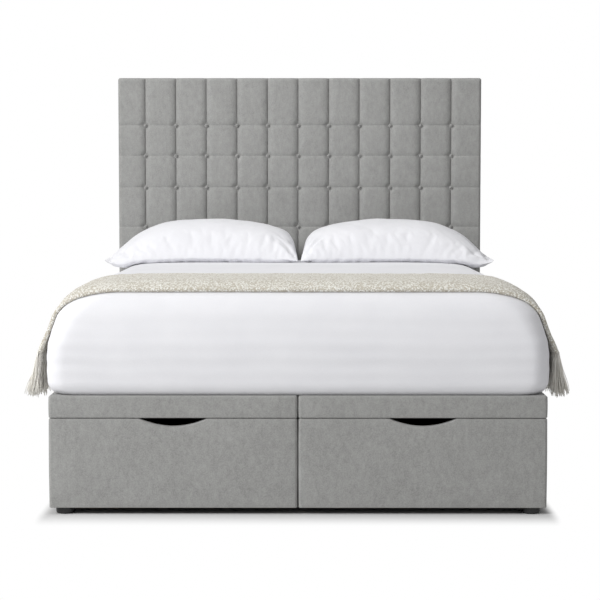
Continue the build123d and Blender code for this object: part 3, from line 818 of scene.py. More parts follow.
def finish_with_subdivision(piece):
    """Smooth a soft piece by one step of subdivision."""
    smooth = piece.modifiers.new("smooth", "SUBSURF")
    smooth.levels = 1
    smooth.render_levels = 1


def mattress_ring(low, high, inset, runs):
    """One level line of the mattress. Its side points draw together as the line nears the middle."""
    radius = float(mattress_corner_radius(inset))
    middle_x, middle_y = (low[0] + high[0]) / 2, (low[1] + high[1]) / 2
    scale_x = (high[0] - inset - radius - middle_x) / (high[0] - mattress_corner_round - middle_x)
    scale_y = (high[1] - inset - radius - middle_y) / (high[1] - mattress_corner_round - middle_y)
    drawn = [[middle_x + (x - middle_x) * scale_x for x in runs[0]],
             [middle_y + (y - middle_y) * scale_y for y in runs[1]]]
    return ring(low, high, inset, radius, drawn, mattress_corner_steps)


def mattress_profile():
    """The mattress's level lines from its underside to its middle, as insets and heights."""
    side_share = mattress_levels[side_level][1]
    profile = []
    for step in range(mattress_ring_steps + 1):
        turn = math.pi * (step / mattress_ring_steps) ** mattress_ring_ease
        share = side_share * (1 - math.cos(turn)) / 2
        profile.append((float(mattress_side_inset(share)), mattress_low[2] + mattress_rise * share))
    for inset in mattress_top_insets:
        profile.append((inset, mattress_low[2] + mattress_rise * float(mattress_top_share(inset))))
    return profile


def build_mattress():
    """The mattress in its fitted sheet."""
    low, high = mattress_low, mattress_high
    hold = mattress_corner_round
    runs = [even_run(low[0] + hold, high[0] - hold, mattress_spacing_across),
            even_run(low[1] + hold, high[1] - hold, mattress_spacing_along)]
    profile = mattress_profile()
    points = []
    for number, (inset, height) in enumerate(profile):
        before, after = profile[max(number - 1, 0)], profile[min(number + 1, len(profile) - 1)]
        run, climb = after[0] - before[0], after[1] - before[1]
        up = abs(run) / math.hypot(run, climb)
        fade = min(1.0, (height - low[2]) / sheet_fade_height)
        for x, y in mattress_ring(low, high, inset, runs):
            core_x = np.clip(x, low[0] + hold + inset, high[0] - hold - inset)
            core_y = np.clip(y, low[1] + hold + inset, high[1] - hold - inset)
            out = Vector((x - core_x, y - core_y, 0)).normalized()
            push = sheet_folds(x, y, height, up) * fade
            rise = push * up if run > 0 else 0.0
            points.append((x + out.x * push * (1 - up), y + out.y * push * (1 - up), height + rise))
    columns = len(points) // len(profile)
    faces = grid_faces(len(profile), columns, wrap=True)
    foot_middle = mattress_corner_steps + 1 + len(runs[0]) // 2
    faces += [face[::-1] for face in closing_strip(0, columns, foot_middle)]
    faces += closing_strip(len(points) - columns, columns, foot_middle)
    piece = add_piece("fitted_sheet", points, faces, finishes["white_cotton"], "platform")
    finish_with_subdivision(piece)
    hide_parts("mattress")


def throw_wave(share, phase, seed):
    """How far the hanging end stands in from its outermost line, at a share of the throw's width."""
    main = (math.cos(2 * math.pi * throw_fold_count * share + phase) - 1) / 2
    return throw_fold * (main + throw_fold_unevenness * waver((share, 0, 0), size=0.16, seed=seed))


def throw_line(y, share):
    """One slice of the throw's middle line, from the left hem over the bed to the right hem."""
    stand = throw_thickness / 2 + throw_lift
    drop = np.linspace(1, 0, throw_side_steps, endpoint=False)
    hang_z = throw_shoulder - (throw_shoulder - throw_hem_height) * drop
    wall = mattress_high[0] - mattress_side_inset((hang_z - mattress_low[2]) / mattress_rise)
    crown = np.linspace(0, 1, throw_crown_steps + 1) ** throw_crown_ease
    eased = throw_hug_inset + (mattress_high[0] - throw_hug_inset) * crown
    sides = []
    for sign, phase, seed, extra in ((-1, 0.0, 1.0, 0.0), (1, 0.9, 9.0, throw_right_extra)):
        fold = throw_wave(share, phase, seed)
        hang_x = wall + stand + (throw_flare + extra + fold) * drop ** throw_flare_power
        top_x = mattress_high[0] - eased
        top_z = surface_height(sign * top_x, np.full(top_x.shape, y))
        slope = np.gradient(top_z, top_x)
        length = np.hypot(slope, 1)
        line_x = np.concatenate([hang_x, top_x - stand * slope / length])
        line_z = np.concatenate([hang_z, top_z + stand / length])
        sides.append((sign * line_x, line_z))
    x = np.concatenate([sides[0][0], sides[1][0][-2::-1]])
    z = np.concatenate([sides[0][1], sides[1][1][-2::-1]])
    return np.stack([x, np.full(x.shape, y), z], axis=1)


def throw_lumps(place):
    """The uneven stitches and soft hollows of the knitting, as a height."""
    return sum(height * waver(place, size, seed) for height, size, seed in throw_lump_layers)


def roll_edges(top, under, middle):
    """Draw the edges of the sheet in a little, so that they look folded over."""
    for layer in (top, under):
        for edge in (0, -1):
            layer[edge] = middle[edge] + (layer[edge] - middle[edge]) * throw_edge_share
            layer[:, edge] = middle[:, edge] + (layer[:, edge] - middle[:, edge]) * throw_edge_share


def closed_sheet(top, under):
    """Points and faces of two grids joined round their edges."""
    rows, columns = top.shape[:2]
    points = list(top.reshape(-1, 3)) + list(under.reshape(-1, 3))
    shift = rows * columns
    upper = grid_faces(rows, columns)
    lower = [tuple(index + shift for index in face[::-1]) for face in upper]
    border = list(range(columns))
    border += [row * columns + columns - 1 for row in range(1, rows)]
    border += [(rows - 1) * columns + column for column in range(columns - 2, -1, -1)]
    border += [row * columns for row in range(rows - 2, 0, -1)]
    rim = []
    for start, end in zip(border, border[1:] + border[:1]):
        rim.append((start, start + shift, end + shift, end))
    return points, [face[::-1] for face in upper + lower + rim]


def build_throw():
    """The throw across the foot end, as one thick knitted sheet with rolled edges."""
    rows = throw_row_count
    width = throw_back - throw_front
    crowded = (1 - np.cos(np.linspace(0, math.pi, rows))) / 2
    shares = crowded * throw_row_crowding + np.linspace(0, 1, rows) * (1 - throw_row_crowding)
    middle = np.array([throw_line(foot_y + throw_front + width * share, share) for share in shares])
    along = np.gradient(middle, axis=0)
    across = np.gradient(middle, axis=1)
    normal = np.cross(across, along)
    normal /= np.linalg.norm(normal, axis=2, keepdims=True)
    if normal[:, middle.shape[1] // 2, 2].mean() < 0:
        normal = -normal
    lumps = np.array([[throw_lumps(place) for place in line] for line in middle])
    half = throw_thickness / 2 + throw_hem_swell * np.exp(-(shares * width / throw_hem_reach) ** 2)
    half = half[:, None] * np.ones(middle.shape[:2])
    top = middle + normal * (half + lumps)[..., None]
    under = middle - normal * (throw_thickness / 2)
    roll_edges(top, under, middle)
    points, faces = closed_sheet(top, under)
    piece = add_piece("knitted_throw", points, faces, finishes["oat_knit"], "platform")
    finish_with_subdivision(piece)
    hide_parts("throw")
    flat_length = float(np.linalg.norm(np.diff(middle[rows // 2], axis=0), axis=1).sum())
    flat_width = float(np.linalg.norm(np.diff(middle[:, middle.shape[1] // 2], axis=0), axis=1).sum())
    return piece, middle, (flat_length, flat_width)


def tree_with_inputs(name, inputs):
    """A geometry node tree with named inputs, and its graph, its input node and its output node."""
    tree = bpy.data.node_groups.new(name, "GeometryNodeTree")
    tree.interface.new_socket("Geometry", in_out="INPUT", socket_type="NodeSocketGeometry")
    tree.interface.new_socket("Geometry", in_out="OUTPUT", socket_type="NodeSocketGeometry")
    for label, kind in inputs:
        tree.interface.new_socket(label, in_out="INPUT", socket_type=kind)
    entry = tree.nodes.new("NodeGroupInput")
    leave = tree.nodes.new("NodeGroupOutput")
    return tree, Graph(tree), entry, leave


def run_tree(name, carrier, tree, values, finish, body):
    """Run a node tree on a carrier object and keep its result as a plain mesh piece."""
    modifier = carrier.modifiers.new(name, "NODES")
    modifier.node_group = tree
    for item in tree.interface.items_tree:
        if item.in_out == "INPUT" and item.name in values:
            modifier[item.identifier] = values[item.name]
    evaluated = carrier.evaluated_get(bpy.context.evaluated_depsgraph_get())
    mesh = bpy.data.meshes.new_from_object(evaluated)
    mesh.name = name
    bpy.data.objects.remove(carrier)
    piece = bpy.data.objects.new(name, mesh)
    bpy.context.scene.collection.objects.link(piece)
    return finished_piece(piece, finish, body)


def strand_object():
    """One thread of the fringe: a slim three-sided thread with a few waves, hanging from its root."""
    points = []
    for level in range(thread_levels):
        share = level / (thread_levels - 1)
        sway = thread_sway * math.sin(share * thread_sway_turn) * share
        girth = thread_girth * (1 - thread_taper * share ** 2)
        for side in range(thread_sides):
            angle = 2 * math.pi * side / thread_sides + share * thread_twist
            points.append((sway + girth * math.cos(angle), girth * math.sin(angle), -share))
    faces = grid_faces(thread_levels, thread_sides, wrap=True)
    last = (thread_levels - 1) * thread_sides
    faces += [tuple(range(thread_sides))[::-1], tuple(range(last, last + thread_sides))]
    return mesh_object("thread", points, [face[::-1] for face in faces])


def fringe_tree():
    """Threads along a hem, gathered in bundles that draw together towards their tips."""
    tree, graph, entry, leave = tree_with_inputs("fringe", (
        ("Thread", "NodeSocketObject"), ("Count", "NodeSocketInt"), ("Bundle", "NodeSocketFloat"),
        ("Length", "NodeSocketFloat"), ("Lean", "NodeSocketFloat"), ("Spread", "NodeSocketFloat"),
        ("Seed", "NodeSocketInt"), ("Finish", "NodeSocketMaterial")))

    def given(name):
        return Signal(graph, entry.outputs[name])

    def random_value(low, high, seed, group=None):
        sockets = {2: low, 3: high, "Seed": given("Seed") + seed}
        if group is not None:
            sockets["ID"] = group
        return graph.node("FunctionNodeRandomValue", {"data_type": "FLOAT"}, sockets, 1)

    def either_way(reach, seed, group=None):
        return random_value(-reach, reach, seed, group)

    def vector(x, y, z):
        return graph.node("ShaderNodeCombineXYZ", None, {0: x, 1: y, 2: z})

    # Which bundle a thread belongs to, and how far it is from the bundle's middle
    place = graph.node("GeometryNodeInputIndex") * 1.0
    bundle = graph.node("ShaderNodeMath", {"operation": "DIVIDE"}, {0: place, 1: given("Bundle")})
    number = graph.node("ShaderNodeMath", {"operation": "FLOOR"}, {0: bundle})
    inside = bundle - number - 0.5

    # The roots, scattered a little beside the hem line
    line = graph.node("GeometryNodeMeshToCurve", None, {"Mesh": given("Geometry")})
    points = graph.node("GeometryNodeCurveToPoints", {"mode": "COUNT"},
                        {"Curve": line, "Count": given("Count")})
    offset = vector(either_way(fringe_scatter_out, 1), either_way(fringe_scatter_along, 2),
                    random_value(-fringe_scatter_down, fringe_scatter_up, 3))
    moved = graph.node("GeometryNodeSetPosition", None, {"Geometry": points, "Offset": offset})

    # The way each thread leans out from the bed and sways along the hem
    stray = either_way(1.0, 4, number) * fringe_bundle_stray + either_way(1.0, 5) * fringe_thread_stray
    lean = given("Lean") + stray * given("Spread")
    sway = inside * fringe_gather + either_way(fringe_bundle_sway, 6, number)
    turned = vector(sway + either_way(fringe_thread_sway, 7), lean, 0.0)

    # The threads themselves, each with its own length and twist
    source = graph.node("GeometryNodeObjectInfo", None, {"Object": given("Thread")}, "Geometry")
    share = random_value(fringe_shortest, fringe_longest, 8) + either_way(fringe_bundle_change, 9, number)
    size = given("Length") * share
    spun = graph.node("GeometryNodeInstanceOnPoints", None,
                      {"Points": moved, "Instance": source, "Rotation": turned,
                       "Scale": vector(size, size, size)})
    twist = vector(0.0, 0.0, random_value(0.0, full_turn, 10))
    twisted = graph.node("GeometryNodeRotateInstances", None, {"Instances": spun, "Rotation": twist})
    whole = graph.node("GeometryNodeRealizeInstances", None, {"Geometry": twisted})
    painted = graph.node("GeometryNodeSetMaterial", None, {"Geometry": whole, "Material": given("Finish")})
    tree.links.new(painted.socket, leave.inputs[0])
    return tree


def build_fringes(middle):
    """The loose yarn ends under both hems of the throw."""
    tree = fringe_tree()
    thread = strand_object()
    pieces = []
    for side, column, sign, seed in ((LEFT, 0, -1, 7), (RIGHT, -1, 1, 19)):
        line = [(x, y, z + fringe_root_rise) for x, y, z in middle[:, column]]
        steps = [(index, index + 1) for index in range(len(line) - 1)]
        carrier = mesh_object(f"{side}_hem_line", line, [], steps)
        values = {"Thread": thread, "Count": fringe_count, "Bundle": float(fringe_bundle),
                  "Length": fringe_length, "Lean": -sign * fringe_lean, "Spread": fringe_spread,
                  "Seed": seed, "Finish": yarn_finish}
        piece = run_tree(f"{side}_fringe_yarn", carrier, tree, values, yarn_finish, "platform")
        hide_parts(f"{side}_fringe")
        pieces.append(piece)
    bpy.data.objects.remove(thread)
    return pieces


def eased_run(count):
    """Places from -1 to 1 that lie a little closer together near both ends."""
    even = np.linspace(-1, 1, count + 1)
    return (1 - pillow_point_ease) * even + pillow_point_ease * np.sin(even * math.pi / 2)


def underside_sag(x, y):
    """How far the left pillow's underside sinks with the mattress's rounded edge, at its own places."""
    drop = mattress_high[2] - surface_height(x - pillow_middle_x, y + pillow_middle_y)
    return pillow_sag * (1 - np.exp(-drop / pillow_sag))


def pillow_form():
    """The filled case of the left pillow, its outer end at -1 and its back at +1, as two layers."""
    u, v = np.meshgrid(eased_run(pillow_columns), eased_run(pillow_rows))
    half_x, half_y = pillow_width / 2, pillow_length / 2
    x = half_x * u * (1 - pillow_waist * np.abs(u) ** pillow_waist_power * (1 - v ** 2))
    y = half_y * v * (1 - 1.5 * pillow_waist * np.abs(v) ** pillow_waist_power * (1 - u ** 2))
    outer = smooth_curve(*zip(*pillow_outer_shares), flat_end=True)(half_x * (1 + u))
    inner = smooth_curve(*zip(*pillow_inner_shares), flat_end=True)(half_x * (1 - u))
    length = (1 - np.abs(v) ** pillow_length_round) ** pillow_length_power
    # The seam rises round the inner end and the back, and dips at both front corners
    to_inner, to_outer = np.clip(u, 0, 1), np.clip(-u, 0, 1)
    to_back, to_front = np.clip(v, 0, 1), np.clip(-v, 0, 1)
    inner_rise = pillow_seam_inner_rise * to_inner ** pillow_rise_power * (1 - v ** 2)
    back_rise = pillow_seam_back_rise * to_back ** pillow_rise_power * (1 - u ** 4)
    inner_dip = pillow_seam_inner_dip * to_inner ** pillow_dip_power
    outer_dip = pillow_seam_outer_dip * to_outer ** pillow_dip_power
    seam = pillow_seam * (1 + inner_rise + back_rise)
    seam = seam - pillow_seam * to_front ** pillow_dip_power * (inner_dip + outer_dip)
    rise = outer * inner * length
    sag = underside_sag(x, y) * np.clip(half_x * (1 + u) / pillow_sag_reach, 0, 1) ** pillow_sag_power
    top = seam + (pillow_height - seam) * rise - sag * (1 - rise)
    edge = np.minimum(half_x * (1 - np.abs(u)), half_y * (1 - np.abs(v)))
    under = seam * (1 - np.clip(edge / pillow_under_round, 0, 1)) ** 2 - sag
    return np.stack([x, y, top], axis=-1), np.stack([x, y, under], axis=-1)


def sewn_layers(top, under):
    """Points and faces of two layers that share the points of their border."""
    rows, columns = top.shape[:2]
    index = np.arange(rows * columns).reshape(rows, columns)
    inner = index.copy()
    own = np.arange((rows - 2) * (columns - 2)).reshape(rows - 2, columns - 2)
    inner[1:-1, 1:-1] = rows * columns + own
    points = np.concatenate([top.reshape(-1, 3), under[1:-1, 1:-1].reshape(-1, 3)])
    lower = inner.reshape(-1)
    faces = grid_faces(rows, columns)
    faces += [tuple(int(lower[place]) for place in face[::-1]) for face in grid_faces(rows, columns)]
    border = np.concatenate([index[0], index[-1], index[1:-1, 0], index[1:-1, -1]])
    return points, faces, border


def relaxed_case(points, faces, border):
    """The case after a cloth simulation: its seam held, filled from inside, with a little spare cloth."""
    case = mesh_object("pillowcase", points, faces)
    held = case.vertex_groups.new(name="seam")
    held.add([int(place) for place in border], 1.0, "REPLACE")
    cloth = case.modifiers.new("filling", "CLOTH")
    settings = cloth.settings
    settings.quality = 5
    settings.mass = 0.2
    settings.tension_stiffness = 15
    settings.compression_stiffness = 12
    settings.shear_stiffness = 5
    settings.bending_stiffness = 0.12
    settings.shrink_min = -pillow_spare_cloth
    settings.vertex_group_mass = "seam"
    settings.use_pressure = True
    settings.uniform_pressure_force = 4.0
    settings.effector_weights.gravity = 0.0
    cloth.collision_settings.use_collision = False
    cloth.point_cache.frame_start = 1
    cloth.point_cache.frame_end = pillow_sewing_frames
    scene = bpy.context.scene
    for number in range(1, pillow_sewing_frames + 1):
        scene.frame_set(number)
    evaluated = case.evaluated_get(bpy.context.evaluated_depsgraph_get())
    result = np.array([vertex.co[:] for vertex in evaluated.data.vertices])
    scene.frame_set(1)
    bpy.data.objects.remove(case)
    move = result - points
    reach = np.linalg.norm(move, axis=1, keepdims=True)
    return points + move * (np.tanh(reach / pillow_move_limit) * pillow_move_limit / np.maximum(reach, 1e-9))


def denser_mesh(points, faces):
    """Points and faces after one step of subdivision."""
    carrier = mesh_object("dense", points, faces)
    finish_with_subdivision(carrier)
    evaluated = carrier.evaluated_get(bpy.context.evaluated_depsgraph_get())
    result = bpy.data.meshes.new_from_object(evaluated)
    dense = np.array([vertex.co[:] for vertex in result.vertices])
    dense_faces = [tuple(face.vertices) for face in result.polygons]
    bpy.data.objects.remove(carrier)
    return dense, dense_faces


def corner_fold(x, y, corner_x, corner_y, reach, seed):
    """The folds that run out of one corner of a pillow case, as a height at a place."""
    away_x = x - corner_x * pillow_width / 2 * corner_fold_start[0]
    away_y = y - corner_y * pillow_length / 2 * corner_fold_start[1]
    distance = math.hypot(away_x, away_y)
    if distance > reach * corner_fold_reach:
        return 0.0
    angle = math.atan2(away_y, away_x)
    wobble = 0.5 * waver((distance, angle * corner_wobble_turn, 0), corner_wobble_size, seed)
    along = (angle * corner_fold_turn, distance * corner_fold_run, corner_x + 3 * corner_y)
    fold = waver(along, corner_fold_size, seed + 1.0) + corner_wobble * wobble
    return corner_fold_depth * fold * math.exp(-((distance - reach) / (reach * corner_fold_fade)) ** 2)


def ear_fold(x, y):
    """The turned-in ear at the inner front corner of a pillow case, as a depth at a place."""
    from_inner, from_front = x - pillow_width / 2, y + pillow_length / 2
    beside = abs(from_inner * ear_across + from_front * ear_along - ear_offset)
    along = math.hypot(from_inner, from_front)
    return (ear_depth * math.exp(-(beside / ear_width) ** 2)
            * math.exp(-((along - ear_middle) / ear_length) ** 2))


def pillow_crease(point, seed):
    """How far a pillow case stands out or in at a place, with all its folds and wrinkles."""
    x, y, z = point
    half_x, half_y = pillow_width / 2, pillow_length / 2
    depth = sum(corner_fold(x, y, *corner, seed) for corner in corner_folds)
    slant = slant_across * x + slant_along * y
    beside = slant_across * y - slant_along * x
    front = math.exp(-((y + half_y) / front_wrinkle_reach) ** 2)
    short = waver((beside, slant * front_wrinkle_stretch, 0), front_wrinkle_size, seed + 4.0)
    long = waver((beside, slant * slant_wrinkle_stretch, 0), slant_wrinkle_size, seed + 6.0)
    depth += front_wrinkle_depth * front * short
    depth += slant_wrinkle_depth * long
    depth += case_swell_depth * waver((x, y, z), case_swell_size, seed + 7.0)
    depth -= ear_fold(x, y)
    edge = min(half_x - abs(x), half_y - abs(y))
    edge_share = min(1.0, max(edge - case_edge_margin, 0.0) / case_edge_fade)
    return depth * edge_share * min(1.0, max(z, 0.0) / case_floor_fade)


def build_pillows():
    """Two pillows side by side against the headboard."""
    points, faces, border = sewn_layers(*pillow_form())
    points = relaxed_case(points, faces, border)
    points, faces = denser_mesh(points, faces)
    for side, sign, seed in ((LEFT, -1, 3.0), (RIGHT, 1, 23.0)):
        creases = np.array([pillow_crease(point, seed) for point in points.tolist()])
        placed = points.copy()
        placed[:, 0] = -sign * placed[:, 0] + sign * pillow_middle_x
        placed[:, 1] += pillow_middle_y
        ground = surface_height(placed[:, 0], placed[:, 1]) - mattress_high[2]
        placed[:, 2] = np.maximum(placed[:, 2] + creases, ground)
        placed[:, 2] *= pillow_height / placed[:, 2].max()
        placed[:, 2] += mattress_high[2] + pillow_stand
        turned = faces if sign < 0 else [face[::-1] for face in faces]
        name = f"{side}_pillow_case"
        piece = add_piece(name, placed, turned, finishes["white_cotton"], "platform")
        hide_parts(f"{side}_pillow")


def seam_places():
    """The upright seams of the headboard, from left to right."""
    inner = (pad_high[0] - pad_low[0] - left_edge_column - right_edge_column) / (column_count - 2)
    return [pad_low[0] + left_edge_column + inner * index for index in range(column_count - 1)]


def graded(low, high, offsets):
    """Places between two ends, at given distances from each of them, the far end left out."""
    middle = (low + high) / 2
    near = [low + offset for offset in offsets if low + offset < middle - pad_least_step]
    return near + [middle] + [high - (place - low) for place in reversed(near[1:])]


def pad_front(x, z):
    """How far the padded front stands out from its foam's back, at places across and up the pad."""
    seams = np.array(seam_places())
    rows = np.array(button_heights)
    to_seam = np.abs(x[..., None] - seams).min(axis=-1)
    above_rows = z[..., None] - rows
    nearest = np.abs(above_rows).argmin(axis=-1)
    above_row = np.take_along_axis(above_rows, nearest[..., None], axis=-1)[..., 0]
    to_row = np.abs(above_row)
    left = np.clip(1 - to_seam / seam_round, 0, 1)
    shaped = (1 - left ** seam_power) ** (1 / seam_power)
    crown = np.clip(to_seam / column_half_width, 0, 1)
    foam = pad_high[1] - pad_low[1]
    depth = foam - seam_relief * (1 - shaped) - crown_relief * (1 - crown) ** 2
    # The level crease at each row of buttons, deepest at the seams
    fold = crease_relief * np.exp(-(to_row / crease_width) ** crease_power)
    weight = np.where(above_row > 0, 1.0, crease_upper_share)
    sag = crease_sag * np.exp(-(to_row / crease_round) ** 2) * weight
    hollow = 1 - crown
    depth = depth - fold * (crease_least + (1 - crease_least) * hollow)
    depth = depth - sag * (crease_sag_least + crease_sag_growth * hollow ** 2)
    bowl = np.exp(-(np.hypot(to_seam, to_row) / dimple_round) ** dimple_power)
    return depth + (foam - dimple_depth - depth) * bowl


def edge_rounding(x, z):
    """How far the cloth falls back where it turns over the sides and the top of the pad."""
    side = np.minimum(x - pad_low[0], pad_high[0] - x)
    above, below = pad_high[2] - z, z - pad_low[2]
    fall = 0.0
    for distance, size in ((side, pad_edge_round), (above, pad_top_round), (below, pad_edge_round)):
        left = np.clip(1 - distance / size, 0, 1)
        fall = fall + (1 - np.sqrt(1 - left ** 2)) * size
    return fall


def round_corners(x, z):
    """Draw the two upper corners of the front in to a small radius."""
    inner_x = np.clip(x, pad_low[0] + pad_corner_round, pad_high[0] - pad_corner_round)
    inner_z = np.minimum(z, pad_high[2] - pad_corner_round)
    away_x, away_z = x - inner_x, z - inner_z
    reach = np.maximum(np.abs(away_x), np.abs(away_z))
    length = np.maximum(np.hypot(away_x, away_z), 1e-9)
    share = np.where(reach > 0, reach / length, 1.0)
    return inner_x + away_x * share, inner_z + away_z * share


def wrap_back(grid):
    """Carry the border of the front back along the sides and turn it in behind."""
    rows, columns = grid.shape[:2]
    border = [(0, column) for column in range(columns)]
    border += [(row, columns - 1) for row in range(1, rows)]
    border += [(rows - 1, column) for column in range(columns - 2, -1, -1)]
    border += [(row, 0) for row in range(rows - 2, 0, -1)]
    start = np.array([grid[place] for place in border])
    points = list(grid.reshape(-1, 3))
    faces = grid_faces(rows, columns)
    middle = np.array(((pad_low[0] + pad_high[0]) / 2, (pad_low[2] + pad_high[2]) / 2))
    half = np.array((pad_high[0] - middle[0], pad_high[2] - middle[1]))
    previous = [row * columns + column for row, column in border]
    for share, outward in wrap_steps:
        flat = start[:, (0, 2)] - middle
        sideways = np.abs(flat[:, 0]) > half[0] - pad_corner_round
        flat[:, 0] += np.sign(flat[:, 0]) * np.where(sideways, max(outward, 0.0), 0.0)
        limit = half + min(outward, 0.0) + (max(outward, 0.0), 0.0)
        flat = np.clip(flat, -limit, limit) + middle
        depth = start[:, 1] + (wrap_back_y - start[:, 1]) * share
        fresh = list(range(len(points), len(points) + len(border)))
        points += [np.array((a, b, c)) for a, b, c in zip(flat[:, 0], depth, flat[:, 1])]
        faces += [(previous[(index + 1) % len(border)], previous[index], fresh[index],
                   fresh[(index + 1) % len(border)]) for index in range(len(border))]
        previous = fresh
    faces += [face[::-1] for face in closing_strip(previous[0], len(previous), columns // 2)]
    return points, faces


def build_headboard_pad():
    """The buttoned pad, with its cloth wrapped round the board and the timber behind it."""
    edges = [pad_low[0]] + seam_places() + [pad_high[0]]
    across = []
    for low, high in zip(edges, edges[1:]):
        across += graded(low, high, seam_offsets)
    across.append(pad_high[0])
    levels = [pad_low[2]] + sorted(button_heights) + [pad_high[2]]
    up = []
    for low, high in zip(levels, levels[1:]):
        up += graded(low, high, row_offsets)
    up.append(pad_high[2])
    x, z = np.meshgrid(np.array(across), np.array(up))
    lumps = np.array([[waver((a, 0.0, b), size=pad_softness_size, seed=6.0) for a, b in zip(*line)]
                      for line in zip(x, z)])
    depth = pad_front(x, z) - edge_rounding(x, z) - pad_softness * (1 + lumps)
    x, z = round_corners(x, z)
    grid = np.stack([x, pad_high[1] - depth, z], axis=-1)
    points, faces = wrap_back(grid)
    piece = add_piece("buttoned_pad", points, faces, finishes["grey_cloth"], "base")
    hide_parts("headboard_pad")


def button_object():
    """One covered button: a low dome with a rolled rim and a flat back."""
    points = [(0.0, -button_profile[0][1], 0.0)]
    for radius, height in button_profile[1:]:
        for side in range(button_sides):
            angle = 2 * math.pi * side / button_sides
            points.append((radius * math.cos(angle), -height, radius * math.sin(angle)))
    faces = [(0, 1 + side, 1 + (side + 1) % button_sides) for side in range(button_sides)]
    faces += grid_faces(len(button_profile) - 1, button_sides, wrap=True, start=1)
    last = 1 + (len(button_profile) - 2) * button_sides
    faces.append(tuple(range(last, last + button_sides))[::-1])
    return mesh_object("button", points, faces)


def button_tree():
    """A covered button on every point, each turned a little differently."""
    tree, graph, entry, leave = tree_with_inputs("buttons", (
        ("Button", "NodeSocketObject"), ("Radius", "NodeSocketFloat"), ("Seed", "NodeSocketInt"),
        ("Finish", "NodeSocketMaterial")))

    def given(name):
        return Signal(graph, entry.outputs[name])

    source = graph.node("GeometryNodeObjectInfo", None, {"Object": given("Button")}, "Geometry")
    spin = graph.node("FunctionNodeRandomValue", {"data_type": "FLOAT"},
                      {2: 0.0, 3: full_turn, "Seed": given("Seed")}, 1)
    turn = graph.node("ShaderNodeCombineXYZ", None, {0: 0.0, 1: spin, 2: 0.0})
    radius = given("Radius")
    size = graph.node("ShaderNodeCombineXYZ", None, {0: radius, 1: radius, 2: radius})
    placed = graph.node("GeometryNodeInstanceOnPoints", None,
                        {"Points": given("Geometry"), "Instance": source, "Rotation": turn, "Scale": size})
    whole = graph.node("GeometryNodeRealizeInstances", None, {"Geometry": placed})
    painted = graph.node("GeometryNodeSetMaterial", None, {"Geometry": whole, "Material": given("Finish")})
    tree.links.new(painted.socket, leave.inputs[0])
    return tree


def build_buttons():
    """The covered buttons at every crossing of a seam and a row."""
    x, z = np.meshgrid(np.array(seam_places()), np.array(button_heights))
    seat = np.full(x.shape, pad_low[1] + dimple_depth - button_stand)
    points = np.stack([x, seat, z], axis=-1).reshape(-1, 3)
    button = button_object()
    carrier = mesh_object("button_places", points, [])
    cloth = finishes["grey_cloth"]
    values = {"Button": button, "Radius": button_radius, "Seed": 3, "Finish": cloth}
    piece = run_tree("covered_buttons", carrier, button_tree(), values, cloth, "base")
    bpy.data.objects.remove(button)
    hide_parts("headboard_buttons")


def build_plinth():
    """The plain covered lower part of the headboard, down to the floor gap."""
    flat_low = (pad_low[0] + plinth_side_clear, plinth_low[2])
    flat_high = (pad_high[0] - plinth_side_clear, pad_low[2] - plinth_clear)
    front, rear = plinth_low[1] + plinth_clear, wrap_back_y
    edge = plinth_edge_round
    sections = [(wrap_turn_in, rear), (edge * 0.3, rear), (0.0, rear - edge * 0.3), (0.0, front + edge)]
    for angle in (30, 60, 90):
        turn = math.radians(angle)
        sections.append((edge * (1 - math.cos(turn)), front + edge * (1 - math.sin(turn))))
    runs = (even_run(flat_low[0] + plinth_margin, flat_high[0] - plinth_margin, plinth_spacing),
            even_run(flat_low[1] + plinth_margin, flat_high[1] - plinth_margin, plinth_spacing))
    corner_steps = 3
    points = []
    for inset, y in sections:
        outline = ring(flat_low, flat_high, inset, plinth_corner_round, runs, corner_steps)
        points += [(x, y, z) for x, z in outline]
    columns = len(points) // len(sections)
    faces = grid_faces(len(sections), columns, wrap=True)
    middle = corner_steps + 1 + len(runs[0]) // 2
    faces += [face[::-1] for face in closing_strip(0, columns, middle)]
    faces += closing_strip(len(points) - columns, columns, middle)
    piece = add_piece("plinth_cloth", points, faces, finishes["grey_cloth"], "base")
    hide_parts("headboard_plinth")


def area_light(name, place, aim, size, power):
    """A large soft lamp aimed at a place."""
    lamp = bpy.data.lights.new(name, "AREA")
    lamp.shape = "RECTANGLE"
    lamp.size, lamp.size_y = size
    lamp.energy = power
    holder = bpy.data.objects.new(name, lamp)
    holder.location = place
    holder.rotation_euler = (Vector(aim) - Vector(place)).to_track_quat("-Z", "Y").to_euler()
    bpy.context.scene.collection.objects.link(holder)


def white_world(level):
    """A white surround to the eye and in reflections, and a plainer light on the object."""
    world = bpy.data.worlds.new("studio")
    world.use_nodes = True
    bpy.context.scene.world = world
    graph = Graph(world.node_tree)
    backdrop = world.node_tree.nodes["Background"]
    rays = world.node_tree.nodes.new("ShaderNodeLightPath")
    seen = Signal(graph, rays.outputs["Is Camera Ray"])
    glossy = Signal(graph, rays.outputs["Is Glossy Ray"])
    through = Signal(graph, rays.outputs["Is Transmission Ray"])
    shown = graph.node("ShaderNodeMath", {"operation": "MAXIMUM"}, {0: seen + glossy, 1: through})
    held = graph.node("ShaderNodeMath", {"operation": "MINIMUM"}, {0: shown, 1: 1.0})
    backdrop.inputs["Color"].default_value = (1, 1, 1, 1)
    graph.feed(backdrop.inputs["Strength"], held * (1 - level) + level)


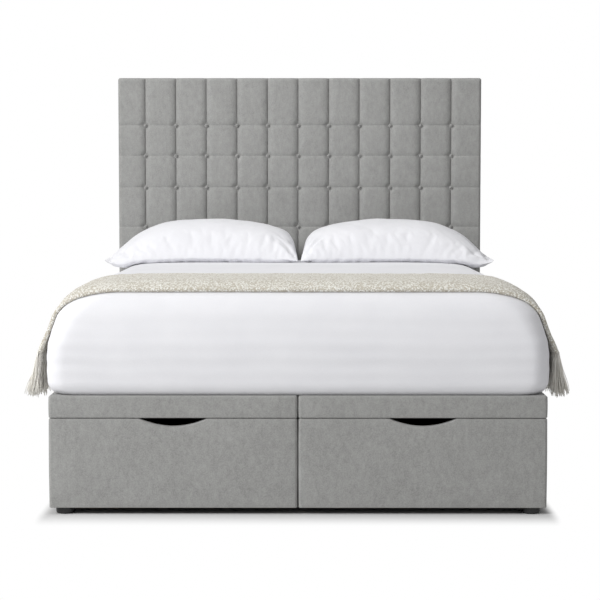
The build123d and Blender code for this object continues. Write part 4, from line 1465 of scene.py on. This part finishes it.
def studio_floor():
    """A pale floor that keeps the bed's shadow and turns plain white to the eye away from it."""
    half = floor_half_width
    points = [(-half, -half, 0), (half, -half, 0), (half, half, 0), (-half, half, 0)]
    floor = mesh_object("floor", points, [(0, 1, 2, 3)])
    finish = bpy.data.materials.new("studio_floor")
    finish.use_nodes = True
    graph = Graph(finish.node_tree)
    finish.node_tree.nodes.remove(finish.node_tree.nodes["Principled BSDF"])
    output = finish.node_tree.nodes["Material Output"]

    def vector_maths(operation, *values):
        return graph.node("ShaderNodeVectorMath", {"operation": operation}, dict(enumerate(values)))

    # How far a place is from the bed's footprint, with the sides counted faster than the front
    place = graph.node("ShaderNodeTexCoord", out="Object")
    size = vector_maths("ABSOLUTE", place)
    beyond = vector_maths("SUBTRACT", size, (bed_half_width, -foot_y, 0.0))
    outside = vector_maths("MAXIMUM", beyond, (0, 0, 0))
    scaled = vector_maths("MULTIPLY", outside, (floor_side_haste, 1, 1))
    distance = graph.node("ShaderNodeVectorMath", {"operation": "LENGTH"}, {0: scaled}, "Value")
    far = graph.node("ShaderNodeMapRange", {"interpolation_type": "SMOOTHSTEP"},
                     {"Value": distance, "From Min": floor_white_start, "From Max": floor_white_end})
    rays = finish.node_tree.nodes.new("ShaderNodeLightPath")
    seen = Signal(graph, rays.outputs["Is Camera Ray"])
    grey = (floor_grey, floor_grey, floor_grey, 1)
    pale = graph.node("ShaderNodeBsdfDiffuse", None, {"Color": grey})
    white = graph.node("ShaderNodeEmission", None, {"Strength": 1.0})
    mixed = graph.node("ShaderNodeMixShader", None, {0: far * seen, 1: pale, 2: white})
    finish.node_tree.links.new(mixed.socket, output.inputs["Surface"])
    floor.data.materials.append(finish)


def light_and_camera():
    """Soft light with its key at the left, and the photograph's view."""
    white_world(surround_level)
    for name, place, size, power in lamps:
        area_light(name, place, lamp_aim, size, power)
    lens = bpy.data.cameras.new("camera")
    lens.lens = camera_lens
    lens.sensor_width = camera_sensor
    lens.clip_end = camera_reach
    holder = bpy.data.objects.new("camera", lens)
    holder.location = camera_place
    holder.rotation_euler = (math.radians(90) - camera_tilt, 0, camera_turn)
    bpy.context.scene.collection.objects.link(holder)
    bpy.context.scene.camera = holder
    bpy.context.scene.view_settings.view_transform = "Standard"


dress_frame_nodes()
build_upholstery()
build_mattress()
throw, throw_middle, throw_flat = build_throw()
fringes = build_fringes(throw_middle)
build_pillows()
build_headboard_pad()
build_buttons()
build_plinth()
studio_floor()
light_and_camera()
